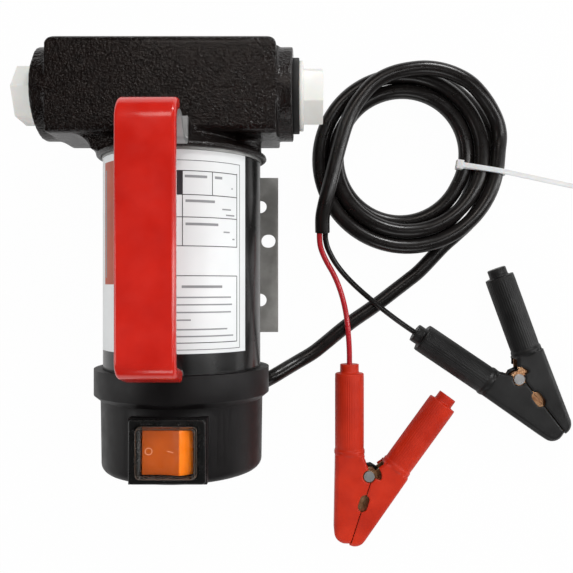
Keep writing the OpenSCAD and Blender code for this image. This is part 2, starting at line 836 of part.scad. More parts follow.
module field_magnets() {
    color([0.3, 0.3, 0.32]) for (turn = [90, 270])
        on_axis(magnet_end_y - magnet_len) rotate([0, 0, turn - magnet_arc / 2])
            rotate_extrude(angle = magnet_arc, $fn = 96)
                translate([tube_in_r - seat_gap - magnet_t, 0]) square([magnet_t, magnet_len]);
}

module motor_shaft() {
    color([0.7, 0.7, 0.72]) rod_y(shaft_r, rear_spigot_y - bearing_w - over, shaft_front_y);
}

module armature_core() {
    color([0.4, 0.4, 0.42]) on_axis(core_end_y - core_len) linear_extrude(core_len) difference() {
        circle(core_r, $fn = 96);
        circle(shaft_r + running_gap);
        for (i = [0:slot_count - 1]) rotate(360 * i / slot_count) {
            translate([slot_in_r, -slot_w / 2]) square([slot_out_r - slot_in_r, slot_w]);
            translate([slot_in_r, -slot_mouth / 2]) square([core_r - slot_in_r + over, slot_mouth]);
        }
    }
}

module armature_winding() {
    bar_w = slot_w - 2 * seat_gap;
    color([0.72, 0.36, 0.16]) on_axis(core_end_y - core_len) {
        for (i = [0:slot_count - 1]) rotate([0, 0, 360 * i / slot_count])
            translate([slot_in_r + seat_gap, -bar_w / 2, -seat_gap - bond])
                cube([slot_out_r - slot_in_r - 2 * seat_gap, bar_w, core_len + 2 * (seat_gap + bond)]);
        for (z = [-winding_end - seat_gap, core_len + seat_gap]) translate([0, 0, z])
            rotate_extrude($fn = 96) translate([slot_in_r, 0]) square([slot_out_r - slot_in_r - bond, winding_end]);
    }
}

module commutator() {
    color([0.75, 0.42, 0.2]) on_axis(commutator_y) difference() {
        cylinder(h = commutator_len, r = commutator_r);
        translate([0, 0, -over]) cylinder(h = commutator_len + 2 * over, r = shaft_r + running_gap);
        for (i = [0:slot_count - 1]) rotate([0, 0, 360 * i / slot_count])
            translate([commutator_r - segment_depth, -segment_gap / 2, -over])
                cube([segment_depth + over, segment_gap, commutator_len + 2 * over]);
    }
}

module rear_flange() {
    profile = [
        [rear_hole_r, rear_boss_y], [boss_r, rear_boss_y], [boss_r, rear_lip_y],
        [tube_r - seat_gap, rear_lip_y], [tube_r - seat_gap, rear_y], [spigot_r, rear_y],
        [spigot_r, rear_spigot_y], [bearing_r, rear_spigot_y], [bearing_r, rear_spigot_y - bearing_w],
        [rear_hole_r, rear_spigot_y - bearing_w]];
    color([0.6, 0.6, 0.58]) difference() {
        turned(profile);
        at_tie_bolts() rod_y(tie_r + tie_gap, rear_lip_y - over, rear_spigot_y + over);
        at_cap_screws() rod_y(cap_screw_r + running_gap, rear_lip_y - over, rear_spigot_y + over);
    }
}

module rear_bearing() {
    bearing(rear_spigot_y - bearing_w);
}

// The two brush places, above and below the commutator, with +X pointing away from the shaft
module at_brushes() {
    for (turn = [90, 270]) on_axis(brush_y) rotate([0, 0, turn]) children();
}

module brush_plate() {
    box_w = brush_h + 2 * (seat_gap + brush_wall);
    box_top = brush_w + 2 * seat_gap + brush_wall;
    color([0.45, 0.3, 0.15]) difference() {
        union() {
            rod_y(brush_plate_r, rear_spigot_y + seat_gap, rear_spigot_y + seat_gap + brush_plate_t);
            at_brushes() translate([brush_box_in, -box_w / 2, -(brush_y - rear_spigot_y - seat_gap - bond)])
                cube([brush_box_len, box_w, brush_y - rear_spigot_y - seat_gap - bond + box_top]);
        }
        rod_y(brush_hole_r, rear_spigot_y - over, rear_spigot_y + seat_gap + brush_plate_t + bond);
        at_tie_bolts() rod_y(tie_r + tie_gap, rear_spigot_y - over, rear_spigot_y + brush_plate_t + over);
        at_brushes() translate([brush_box_in - over, -brush_h / 2 - seat_gap, -seat_gap])
            cube([brush_box_len + over - brush_wall, brush_h + 2 * seat_gap, brush_w + 2 * seat_gap]);
    }
}

module brushes() {
    color([0.2, 0.2, 0.2]) difference() {
        at_brushes() translate([commutator_r - over, -brush_h / 2, 0]) cube([brush_len + over, brush_h, brush_w]);
        rod_y(commutator_r + running_gap, brush_y - over, brush_y + brush_w + over);
    }
}

brush_spring_turns = 3;
brush_spring_wire_r = 0.4;
brush_spring_in = commutator_r + brush_len + seat_gap + brush_spring_wire_r;
brush_spring_out = brush_box_in + brush_box_len - brush_wall - seat_gap - brush_spring_wire_r;
brush_spring_pitch = (brush_spring_out - brush_spring_in) / brush_spring_turns;

module brush_springs() {
    color([0.6, 0.6, 0.62]) at_brushes()
        translate([(brush_spring_in + brush_spring_out) / 2, 0, brush_w / 2]) rotate([0, 90, 0])
            swept_tube(helix(brush_w / 2 - brush_wall / 2, brush_spring_pitch, brush_spring_turns, 8),
                brush_spring_wire_r, 6);
}

module tie_bolts() {
    color([0.65, 0.65, 0.66]) at_tie_bolts() {
        rod_y(tie_r, rear_lip_y - bond, head_y + tie_depth - over);
        difference() {
            rod_y(tie_head_r, rear_lip_y - tie_head_len, rear_lip_y);
            translate([0, rear_lip_y - tie_head_len - over, axis_z]) rotate([-90, 0, 0])
                cylinder(h = tie_head_len / 2 + over, r = tie_r, $fn = 6);
        }
    }
}

// The cable's way out of the cap, with +Z pointing out along the cable and zero at the gland's face
module at_outlet() {
    d = route_dir(lead_route, 0);
    translate(lead_route[0]) rotate([0, 90, atan2(d[1], d[0])]) children();
}

module end_cap() {
    profile = [
        [0, cap_y0], [cap_r - cap_taper - cap_round, cap_y0],
        each [for (a = [15:15:75]) [cap_r - cap_taper - cap_round * (1 - sin(a)),
            cap_y0 + cap_round * (1 - cos(a))]],
        [cap_r - cap_taper, cap_y0 + cap_round], [cap_r, rim_y0 - cap_chamfer], [rim_r, rim_y0],
        [rim_r, rim_y1], [rim_bore, rim_y1], [rim_bore, rear_lip_y], [cap_in_r, rear_lip_y],
        [cap_in_r - cap_taper, cap_y0 + cap_floor], [0, cap_y0 + cap_floor]];
    color([0.14, 0.14, 0.14]) difference() {
        union() {
            difference() {
                union() {
                    turned(profile);
                    centred_box(switch_x, switch_y, seat_z - boss_depth, bezel_w + 2 * boss_edge,
                        bezel_h + 2 * boss_edge, seat_z);
                    at_outlet() translate([0, 0, -outlet_len - gland_len]) cylinder(h = outlet_len, r = outlet_r);
                }
                turned([[0, cap_y0 + cap_floor], [cap_in_r - cap_taper, cap_y0 + cap_floor],
                    [cap_in_r, rear_lip_y - bond], [0, rear_lip_y - bond]]);
            }
            at_cap_screws() rod_y(post_r, cap_y0 + cap_floor - bond, rear_lip_y - seat_gap);
        }
        centred_box(switch_x, switch_y, seat_z - boss_depth - over, switch_box_w + 2 * seat_gap,
            switch_box_h + 2 * seat_gap, seat_z + over);
        at_cap_screws() rod_y(cap_screw_r + tie_gap, cap_y0 - over, rear_lip_y + over);
        at_cap_screws() rod_y(cap_head_r + tie_gap, cap_y0 - over, cap_y0 + cap_head_len);
        at_outlet() translate([0, 0, -outlet_len - gland_len - over])
            cylinder(h = outlet_len + gland_len + over, r = cable_r + seat_gap);
        translate([-tongue_w / 2 - seat_gap, tongue_y - seat_gap, tongue_z - strap_t / 2 - over])
            cube([tongue_w + 2 * seat_gap, tongue_len + over, strap_t + over + seat_gap]);
    }
}

module cap_screws() {
    color([0.65, 0.65, 0.66]) at_cap_screws() difference() {
        union() {
            rod_y(cap_screw_r, cap_y0 + cap_head_len - bond, rear_lip_y + cap_screw_bite);
            rod_y(cap_head_r, cap_y0 + seat_gap, cap_y0 + cap_head_len);
        }
        for (turn = [0, 90]) translate([0, cap_y0, axis_z]) rotate([0, turn, 0])
            cube([cap_head_r, cap_head_len, cap_screw_r / 2], center = true);
    }
}

module cable_gland() {
    color([0.08, 0.08, 0.08]) at_outlet() {
        translate([0, 0, -gland_len]) cylinder(h = gland_len, r = gland_r);
        translate([0, 0, -2 * gland_len]) cylinder(h = gland_len + bond, r = cable_r);
    }
}

module switch_body() {
    window_w = rocker_len + 2 * rocker_gap;
    window_h = rocker_w + 2 * rocker_gap;
    base_z = seat_z - switch_box_deep;
    color([0.05, 0.05, 0.05]) difference() {
        union() {
            translate([switch_x, switch_y, seat_z]) linear_extrude(bezel_t)
                rounded_square(bezel_w, bezel_h, bezel_t);
            centred_box(switch_x, switch_y, base_z, switch_box_w, switch_box_h, seat_z + bond);
            for (x = [-1, 0, 1]) centred_box(switch_x + x * terminal_w * 4 / 3, switch_y,
                base_z - terminal_len, terminal_t, terminal_w, base_z + bond);
        }
        centred_box(switch_x, switch_y, seat_z - switch_well, window_w, window_h, bezel_z + over);
        translate([switch_x, switch_y - window_h / 2 - rocker_pin_len, rocker_z]) rotate([-90, 0, 0])
            cylinder(h = window_h + 2 * rocker_pin_len, r = rocker_pin_r + running_gap);
    }
}

module switch_rocker() {
    half = rocker_len / 2;
    outline = [
        [-half, -rocker_skirt / 3], [-half + rocker_gap, rocker_edge], [-half / 2, rocker_edge - rocker_dish * 3 / 4],
        [0, rocker_edge - rocker_dish], [half / 2, rocker_edge - rocker_dish * 3 / 4],
        [half - rocker_gap, rocker_edge], [half, -rocker_skirt / 3], [half / 2, -rocker_skirt],
        [-half / 2, -rocker_skirt]];
    color([0.9, 0.45, 0.1]) translate([switch_x, switch_y, rocker_z]) {
        rotate([0, -rocker_travel / 2, 0]) rotate([90, 0, 0]) linear_extrude(rocker_w, center = true)
            polygon(outline);
        rotate([-90, 0, 0]) cylinder(h = rocker_w + 2 * (rocker_gap + rocker_pin_len) - 2 * seat_gap,
            r = rocker_pin_r, center = true);
    }
}

module switch_cover() {
    color([0.95, 0.95, 0.93, 0.4]) translate([switch_x, switch_y, bezel_z]) difference() {
        union() {
            linear_extrude(cover_rise) rounded_square(cover_w, cover_h, cover_lip);
            linear_extrude(cover_lip_t)
                rounded_square(cover_w + cover_lip, cover_h + cover_lip, cover_lip);
        }
        translate([0, 0, -over]) linear_extrude(cover_rise + over - cover_wall)
            rounded_square(cover_w - 2 * cover_wall, cover_h - 2 * cover_wall, cover_lip - cover_wall);
    }
}

module label() {
    color([0.86, 0.87, 0.87]) on_axis(front_y - label_gap - label_len)
        rotate([0, 0, -90 - label_left]) rotate_extrude(angle = label_left + label_right, $fn = 96)
            translate([tube_r + running_gap, 0]) square([label_t, label_len]);
}

// The strap's path up from the head, along the hand's run and down into the cap's rim
strap_path = [
    [foot_tip_y, foot_z, 0], [foot_bend_y, foot_z, foot_bend], [foot_bend_y, leg_in_z, leg_bend],
    [leg_top_y, leg_out_z, leg_bend], [leg_top_y, strap_z, bend_front], [rear_top_y, strap_z, bend_rear],
    [rear_knee_y, rear_knee_z, knee_bend], [rear_leg_y, tongue_z, foot_bend], [tongue_y, tongue_z, 0]];
// The part of that path that the grip covers
grip_path = [
    [leg_top_y, grip_front_z, 0], [leg_top_y, strap_z, bend_front], [rear_top_y, strap_z, bend_rear],
    [rear_knee_y, rear_knee_z, 0]];

module handle_strap() {
    color([0.55, 0.55, 0.55]) difference() {
        bent_plate(strip_outline(strap_path, strap_t), strap_w);
        for (side = [-1, 1]) translate([side * (rear_leg_w + strap_w) / 2 - strap_w / 2, tongue_y - over,
            tongue_z - strap_t])
            cube([strap_w, tongue_len + over + rear_knee_in + strap_t, rear_knee_z - tongue_z + strap_t]);
        translate([0, handle_screw_y, foot_z - strap_t])
            cylinder(h = 2 * strap_t, r = handle_screw_r + tie_gap);
    }
}

module handle_grip() {
    color([0.8, 0.1, 0.08]) difference() {
        bent_plate(strip_outline(grip_path, strap_t + 2 * grip_wall), strap_w + 4 * grip_wall - grip_over);
        bent_plate(strip_outline(strap_path, strap_t + 2 * seat_gap), strap_w + 2 * seat_gap);
    }
}

module handle_screw() {
    color([0.65, 0.65, 0.66]) translate([0, handle_screw_y, axis_z + lug_top]) difference() {
        union() {
            translate([0, 0, over - handle_screw_len])
                cylinder(h = handle_screw_len + strap_t, r = handle_screw_r);
            translate([0, 0, strap_t]) cylinder(h = handle_screw_head_t, r = handle_screw_head_r);
        }
        for (turn = [0, 90]) rotate([0, 0, turn]) translate([0, 0, strap_t + handle_screw_head_t])
            cube([handle_screw_head_r, handle_screw_r / 2, handle_screw_head_t], center = true);
    }
}

module mounting_bracket() {
    mid_z = bracket_t / 2;
    apex_z = axis_z - saddle_r / cos(saddle_arc / 2);
    crest_z = apex_z + saddle_top_x * tan(saddle_arc / 2);
    path = [
        [-bracket_w / 2, mid_z, 0], [-saddle_foot_x, mid_z, bracket_bend],
        [-saddle_top_x, crest_z, bracket_bend], [0, apex_z, saddle_r, saddle_step],
        [saddle_top_x, crest_z, bracket_bend], [saddle_foot_x, mid_z, bracket_bend],
        [bracket_w / 2, mid_z, 0]];
    color([0.5, 0.5, 0.49]) difference() {
        translate([0, bracket_y + bracket_len / 2, 0]) rotate([90, 0, 0]) linear_extrude(bracket_len)
            polygon(strip_outline(path, bracket_t));
        for (x = [-bolt_dx / 2, bolt_dx / 2]) for (y = [-bolt_dy / 2, bolt_dy / 2])
            translate([x, y, -over]) cylinder(h = bracket_t + 2 * over, r = bolt_r);
        for (x = [-slot_x, slot_x]) for (run = [-slot_run / 2, slot_run / 2])
            translate([x + run, slot_y, -over]) cylinder(h = bracket_t + 2 * over, r = slot_r);
    }
}

// Place on the coil after a number of turns: the loops spiral in, climb a layer and spiral out again
function coil_radius(turn) = coil_r - coil_pitch * (coil_turns / 2 - abs(coil_turns / 2 - turn));
function coil_climb(turn) = min(max((turn - coil_turns / 2) * 2 + 1 / 2, 0), 1);
function coil_point(turn) = [
    coil_x + coil_radius(turn) * cos(coil_start + 360 * turn),
    coil_y + coil_radius(turn) * sin(coil_start + 360 * turn),
    coil_z + coil_pitch * (3 - 2 * coil_climb(turn)) * coil_climb(turn) * coil_climb(turn)];
coil_steps = round(coil_turns * coil_rings);
coil_loops = [for (i = [0:coil_steps]) coil_point(coil_turns * i / coil_steps)];
coil_in_heading = [-sin(coil_start), cos(coil_start), 0];
coil_out_heading = [-sin(coil_start + 360 * coil_turns), cos(coil_start + 360 * coil_turns), 0];
coil_first = coil_loops[0] - 2 * cable_r * coil_in_heading;
coil_last = coil_loops[coil_steps] + 2 * cable_r * coil_out_heading;
coil_route = concat([coil_first], coil_loops, [coil_last]);

// Least distance between points of the coil that lie more than half a turn apart, less the cable
coil_self_gap = min([for (i = [0:coil_steps - 12]) min([for (k = [i + 12:coil_steps])
    norm(coil_loops[i] - coil_loops[k])])]) - 2 * cable_r;
echo(coil_self_gap = coil_self_gap);

lead_path = concat(lead_route, [coil_first - 2 * cable_r * coil_in_heading, coil_first]);
tail_path = concat([coil_last, coil_last + 2 * cable_r * coil_out_heading], tail_route);

module power_cable() {
    color([0.07, 0.07, 0.07]) swept_tube(lead_path, cable_r, cable_sides);
}

module cable_coil() {
    color([0.07, 0.07, 0.07]) swept_tube(coil_route, cable_r, coil_sides);
}

module cable_tail() {
    color([0.07, 0.07, 0.07]) swept_tube(tail_path, cable_r, cable_sides);
}

module red_wire() {
    color([0.75, 0.1, 0.12]) swept_tube(red_route, wire_r, wire_sides);
}

module black_wire() {
    color([0.08, 0.08, 0.08]) swept_tube(black_route, wire_r, wire_sides);
}

// Section through the piled loops at the tie's place, seen along the loops
tie_turns = [for (k = [0:floor(coil_turns)]) (tie_angle - coil_start) / 360 + k];
tie_places = [for (turn = tie_turns) [coil_radius(turn), coil_point(turn)[2]]];
tie_in_x = min([for (place = tie_places) place[0]]) - cable_r - tie_gap_in - tie_t;
tie_top = max([for (place = tie_places) place[1]]) + cable_r + tie_gap_in;

// Outline pulled tight round the loops
module loops_outline(r) {
    hull() for (place = tie_places) translate(place) circle(r, $fn = 32);
}

module cable_tie() {
    tail_z = tie_top + tie_t + tie_tail_t / 2 + tie_gap_in;
    head_x = tie_in_x - tie_t;
    tail = [
        [head_x + tie_t, tail_z, 0], [coil_r, tail_z, tie_tail_bend],
        [coil_r + tie_tail_run, tail_z - tie_tail_drop, 0]];
    color([0.93, 0.93, 0.92]) translate([coil_x, coil_y, 0]) rotate([0, 0, tie_angle]) rotate([90, 0, 0]) {
        linear_extrude(tie_w, center = true) difference() {
            loops_outline(cable_r + tie_gap_in + tie_t);
            loops_outline(cable_r + tie_gap_in);
        }
        linear_extrude(tie_w, center = true) polygon(strip_outline(tail, tie_tail_t));
        difference() {
            translate([head_x, tail_z + tie_tail_t - tie_head, -tie_head / 2])
                cube([tie_head_t, tie_head, tie_head]);
            translate([0, 0, -tie_head]) linear_extrude(2 * tie_head) loops_outline(cable_r + tie_gap_in);
        }
    }
}

// A clamp part put in its place on the ground
module at_clamp(place) {
    translate([place[0], place[1], clamp_z]) rotate([0, 0, place[2]]) children();
}

// One arm turned out from the clamp's middle line: the wired one on the left, the hinged one mirrored
module wired_arm() {
    rotate([0, 0, clamp_angle / 2]) children();
}

module hinged_arm() {
    mirror([1, 0, 0]) rotate([0, 0, clamp_angle / 2]) children();
}

// Flat outline of a jaw and its cover beside the rivet, drawn in by an inset
module jaw_outline(inset) {
    out_x = arm_x + sleeve_r;
    tip_x = out_x + cover_out_x - cover_tip_r;
    tip_y = -jaw_len + cover_tip_r;
    polygon(concat(
        [[-out_x + inset, collar_y], [-arm_x + sleeve_r - inset, collar_y], [cover_hub_x - inset, 0],
            [cover_mid_x - inset, -cover_mid_y], [-cover_tip_in, -jaw_len + inset]],
        [for (a = [0:15:90]) [-tip_x - (cover_tip_r - inset) * sin(a), tip_y - (cover_tip_r - inset) * cos(a)]]));
}

// One piece of the clamp's cover: a sleeve with its neck, a collar ring and the jaw's cover
module grip_shell() {
    difference() {
        union() {
            hull() {
                linear_extrude(2 * (cover_half - cover_bevel), center = true) jaw_outline(0);
                linear_extrude(2 * cover_half, center = true) jaw_outline(cover_bevel);
            }
            translate([-arm_x, 0, 0]) rotate([-90, 0, 0]) {
                translate([0, 0, collar_y - bond]) cylinder(h = sleeve_len + bond, r = sleeve_r);
                translate([0, 0, collar_y]) cylinder(h = collar_ring_len, r = collar_ring_r);
                translate([0, 0, sleeve_top - bond]) cylinder(h = neck_len_clamp + bond, r = neck_r);
            }
        }
        linear_extrude(2 * (cover_half - cover_skin), center = true) union() {
            jaw_outline(cover_skin);
            polygon([[-arm_x, collar_y - over], [over, collar_y - over], [cover_mid_x + over, 0],
                [cover_mid_x + over, -cover_mid_y], [-cover_tip_in + over, -jaw_len - over],
                [-cover_tip_in - over, -jaw_len - over], [-arm_x, -cover_mid_y]]);
        }
        translate([-arm_x, collar_y - 2 * over, 0]) rotate([-90, 0, 0])
            cylinder(h = sleeve_len + 2 * over - sleeve_wall, r = sleeve_r - sleeve_wall);
    }
}

// The lens-shaped gap between the two covers below the rivet
module eye_cut() {
    for (y = [-eye_run / 2, eye_run / 2]) translate([seam_x, -eye_y + y, 0])
        cylinder(h = 2 * (cover_half + over), r = eye_r, center = true);
    translate([seam_x, -eye_y, 0]) cube([2 * eye_r, eye_run, 2 * (cover_half + over)], center = true);
}

module wired_grip() {
    difference() {
        wired_arm() grip_shell();
        translate([seam_x, -jaw_len - 2 * over, -cover_half - over])
            cube([jaw_len, jaw_len + 2 * over, 2 * (cover_half + over)]);
        cylinder(h = 2 * (cover_half + over), r = rivet_cut_r, center = true);
        eye_cut();
    }
}

module hinged_grip() {
    difference() {
        hinged_arm() grip_shell();
        translate([seam_x + seam_gap - jaw_len, -jaw_len - 2 * over, -cover_half - over])
            cube([jaw_len, jaw_len + 2 * over, 2 * (cover_half + over)]);
        intersection() {
            cylinder(h = 2 * (cover_half + over), r = hub_cut_r, center = true);
            translate([-hub_cut_r, 0, -cover_half - over])
                cube([2 * hub_cut_r, hub_cut_r, 2 * (cover_half + over)]);
        }
        cylinder(h = 2 * (cover_half + over), r = rivet_cut_r, center = true);
        eye_cut();
    }
}

// Sheet metal jaw: two side plates with ears, a back between them, a tang in the sleeve and teeth
module jaw_sheet(half) {
    in = cover_skin + seat_gap;
    difference() {
        union() {
            for (side = [-1, 1]) translate([0, 0, side * (half - jaw_t / 2)]) {
                linear_extrude(jaw_t, center = true) difference() {
                    jaw_outline(in);
                    translate([-arm_x, collar_y - over]) square([2 * arm_x, 2 * over]);
                }
                cylinder(h = jaw_t, r = hub_r, center = true);
            }
            linear_extrude(2 * half, center = true) difference() {
                jaw_outline(in);
                jaw_outline(in + jaw_t);
                translate([-arm_x, -jaw_len - over]) square([3 * arm_x, jaw_len + collar_y + 2 * over]);
            }
            translate([-arm_x - sleeve_r / 2, collar_y - 4 * jaw_t, -half]) cube([jaw_t, 3 * jaw_t, 2 * half]);
            translate([-arm_x - sleeve_r / 2, collar_y - 2 * jaw_t, -min(half, tang_w / 2)])
                cube([jaw_t, tang_len, 2 * min(half, tang_w / 2)]);
        }
        cylinder(h = 2 * (half + over), r = rivet_r + running_gap, center = true);
    }
}

// Teeth along the seam, cut out of a jaw's edge
module tooth_cuts() {
    for (i = [0:tooth_count - 1]) translate([seam_x, -jaw_len + tooth * (i + 1 / 2), 0])
        rotate([0, 0, 45]) cube([tooth / sqrt(2), tooth / sqrt(2), 2 * (wired_half + over)], center = true);
}

module wired_jaw() {
    color([0.78, 0.5, 0.3]) difference() {
        wired_arm() jaw_sheet(wired_half);
        translate([seam_x - seam_gap / 2, -jaw_len - 2 * over, -cover_half])
            cube([jaw_len, jaw_len - hub_r, 2 * cover_half]);
        tooth_cuts();
    }
}

module hinged_jaw() {
    color([0.78, 0.5, 0.3]) difference() {
        hinged_arm() jaw_sheet(hinged_half);
        translate([seam_x + seam_gap / 2 - jaw_len, -jaw_len - 2 * over, -cover_half])
            cube([jaw_len, jaw_len - hub_r, 2 * cover_half]);
        tooth_cuts();
    }
}

module clamp_rivet() {
    color([0.7, 0.7, 0.7]) {
        cylinder(h = 2 * wired_half + seat_gap, r = rivet_r, center = true);
        for (side = [-1, 1]) translate([0, 0, side * (wired_half + (rivet_head_t + seat_gap) / 2)])
            cylinder(h = rivet_head_t, r = rivet_head_r, center = true);
    }
}

// Torsion spring round the rivet, with a straight leg up each handle
torsion_sweep = 180 - clamp_angle + 360 * torsion_turns;
torsion_steps = ceil(torsion_sweep / 45);
torsion_start = 180 + clamp_angle / 2;
function torsion_point(i) =
    let (a = torsion_start + torsion_sweep * i / torsion_steps)
    [torsion_r * cos(a), torsion_r * sin(a), torsion_pitch * torsion_sweep / 360 * (i / torsion_steps - 1 / 2)];
torsion_coil = [for (i = [0:torsion_steps]) torsion_point(i)];
torsion_leg_in = torsion_coil[0] + torsion_leg * [-sin(clamp_angle / 2), cos(clamp_angle / 2), 0];
torsion_leg_out = torsion_coil[torsion_steps] + torsion_leg * [sin(clamp_angle / 2), cos(clamp_angle / 2), 0];
echo(torsion_gap = helix_gap(torsion_pitch, torsion_wire_r));

module clamp_spring() {
    color([0.15, 0.15, 0.15])
        swept_tube(concat([torsion_leg_in], torsion_coil, [torsion_leg_out]), torsion_wire_r, 6);
}

module red_wired_jaw() {
    at_clamp(red_clamp) wired_jaw();
}

module red_wired_grip() {
    color([0.84, 0.2, 0.14]) at_clamp(red_clamp) wired_grip();
}

module red_hinged_jaw() {
    at_clamp(red_clamp) hinged_jaw();
}

module red_hinged_grip() {
    color([0.84, 0.2, 0.14]) at_clamp(red_clamp) hinged_grip();
}

module red_rivet() {
    at_clamp(red_clamp) clamp_rivet();
}

module red_spring() {
    at_clamp(red_clamp) clamp_spring();
}

module black_wired_jaw() {
    at_clamp(black_clamp) wired_jaw();
}

module black_wired_grip() {
    color([0.13, 0.13, 0.13]) at_clamp(black_clamp) wired_grip();
}

module black_hinged_jaw() {
    at_clamp(black_clamp) hinged_jaw();
}

module black_hinged_grip() {
    color([0.13, 0.13, 0.13]) at_clamp(black_clamp) hinged_grip();
}

module black_rivet() {
    at_clamp(black_clamp) clamp_rivet();
}

module black_spring() {
    at_clamp(black_clamp) clamp_spring();
}

pump_head();
inlet_plug();
outlet_plug();
inlet_seal();
outlet_seal();
inlet_strainer();
bypass_poppet();
bypass_spring();
bypass_cap();
pump_rotor();
pump_vanes();
chamber_o_ring();
front_flange();
shaft_seal();
front_bearing();
motor_tube();
field_magnets();
motor_shaft();
armature_core();
armature_winding();
commutator();
rear_flange();
rear_bearing();
brush_plate();
brushes();
brush_springs();
tie_bolts();
end_cap();
cap_screws();
cable_gland();
switch_body();
switch_rocker();
switch_cover();
label();
handle_strap();
handle_grip();
handle_screw();
mounting_bracket();
power_cable();
cable_coil();
cable_tail();
red_wire();
black_wire();
cable_tie();
red_wired_jaw();
red_wired_grip();
red_hinged_jaw();
red_hinged_grip();
red_rivet();
red_spring();
black_wired_jaw();
black_wired_grip();
black_hinged_jaw();
black_hinged_grip();
black_rivet();
black_spring();
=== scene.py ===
import json
import math

import bmesh
import bpy
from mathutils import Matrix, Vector


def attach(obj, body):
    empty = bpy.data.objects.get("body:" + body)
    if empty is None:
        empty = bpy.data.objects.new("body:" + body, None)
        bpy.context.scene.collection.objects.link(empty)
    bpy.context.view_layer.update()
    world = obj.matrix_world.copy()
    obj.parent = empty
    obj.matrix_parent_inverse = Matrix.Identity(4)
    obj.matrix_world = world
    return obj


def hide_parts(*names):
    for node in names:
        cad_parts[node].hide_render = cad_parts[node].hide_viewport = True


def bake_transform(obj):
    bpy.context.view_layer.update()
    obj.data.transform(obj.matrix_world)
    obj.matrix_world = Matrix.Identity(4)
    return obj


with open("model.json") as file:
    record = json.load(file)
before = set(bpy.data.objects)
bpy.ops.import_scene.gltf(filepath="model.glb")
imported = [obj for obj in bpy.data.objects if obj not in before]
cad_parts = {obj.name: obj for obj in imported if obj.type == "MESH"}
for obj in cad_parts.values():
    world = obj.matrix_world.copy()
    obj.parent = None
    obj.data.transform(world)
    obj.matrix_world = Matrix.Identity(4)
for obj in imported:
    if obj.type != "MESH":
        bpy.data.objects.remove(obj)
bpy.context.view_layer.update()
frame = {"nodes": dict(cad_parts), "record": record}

# Lengths are in mm in the shared frame, unless a comment says metres.
MM = 0.001
AXIS_Z = 45  # the motor's axis runs along Y at this height, at X = 0


def metres(points):
    return [tuple(c * MM for c in p) for p in points]


def link(obj):
    bpy.context.scene.collection.objects.link(obj)
    return obj


# Camera, fitted to the photo: it looks straight down, and its shifts stand for the photo's crop.
camera_data = bpy.data.cameras.new("camera")
camera_data.sensor_width = 36
camera_data.lens = 45.74
camera_data.shift_x = -0.041
camera_data.shift_y = -0.0009
camera_data.clip_start = 0.01
camera_data.clip_end = 20
camera = link(bpy.data.objects.new("camera", camera_data))
camera.location = (0.0593, -0.0171, 0.385)
bpy.context.scene.camera = camera
bpy.context.scene.view_settings.view_transform = "Standard"


# Materials

COLOUR_DETAIL = 4
ROUGH_SCALE = 180
ROUGH_DETAIL = 5
SMOOTHEST = 0.02


def tree_of(name):
    """A new material, with its nodes, its links and its main shader."""
    mat = bpy.data.materials.new(name)
    mat.use_nodes = True
    nodes, links = mat.node_tree.nodes, mat.node_tree.links
    return mat, nodes, links, nodes["Principled BSDF"]


def add_node(nodes, kind, values):
    """A new shader node, with the inputs named in values set."""
    node = nodes.new("ShaderNode" + kind)
    for key, value in values.items():
        node.inputs[key].default_value = value
    return node


def surface(name, base, rough, metallic=0.0, coat=0.0, coat_rough=0.1, mottle=0.0,
            mottle_scale=60, rough_spread=0.06, bumps=(), subsurface=0.0, transmission=0.0,
            ior=1.5, specular=0.5, light_tone=None):
    """Procedural finish, whose colour and roughness vary in soft patches.

    The colour runs from base darkened by mottle to light_tone, or to base lightened by mottle.
    bumps is a list of (scale, depth, detail)."""
    mat, nodes, links, shader = tree_of(name)
    place = nodes.new("ShaderNodeTexCoord")

    def noise(scale, detail):
        node = add_node(nodes, "TexNoise", {"Scale": scale, "Detail": detail})
        links.new(place.outputs["Object"], node.inputs["Vector"])
        return node.outputs["Fac"]

    for key, value in (("Metallic", metallic), ("IOR", ior), ("Specular IOR Level", specular),
                       ("Coat Weight", coat), ("Coat Roughness", coat_rough),
                       ("Subsurface Weight", subsurface), ("Transmission Weight", transmission)):
        shader.inputs[key].default_value = value
    if subsurface:
        shader.inputs["Subsurface Radius"].default_value = (1.0, 0.6, 0.4)
        shader.inputs["Subsurface Scale"].default_value = 0.002
    patches = noise(mottle_scale, COLOUR_DETAIL)
    tint = nodes.new("ShaderNodeValToRGB")
    low = [c * (1 - mottle) for c in base]
    high = light_tone or [min(1.0, c * (1 + mottle)) for c in base]
    for stop, position, colour in zip(tint.color_ramp.elements, (0.35, 0.68), (low, high)):
        stop.position = position
        stop.color = (*colour, 1)
    links.new(patches, tint.inputs["Fac"])
    links.new(tint.outputs["Color"], shader.inputs["Base Color"])
    grain = noise(ROUGH_SCALE, ROUGH_DETAIL)
    spread = add_node(nodes, "MapRange", {
        "From Min": 0.3, "From Max": 0.7,
        "To Min": max(SMOOTHEST, rough - rough_spread), "To Max": rough + rough_spread})
    links.new(grain, spread.inputs["Value"])
    links.new(spread.outputs["Result"], shader.inputs["Roughness"])
    last = None
    for scale, depth, detail in bumps:
        height = noise(scale, detail)
        bump = add_node(nodes, "Bump", {"Strength": 1, "Distance": depth * MM})
        links.new(height, bump.inputs["Height"])
        if last:
            links.new(last.outputs["Normal"], bump.inputs["Normal"])
        last = bump
    if last:
        links.new(last.outputs["Normal"], shader.inputs["Normal"])
    return mat


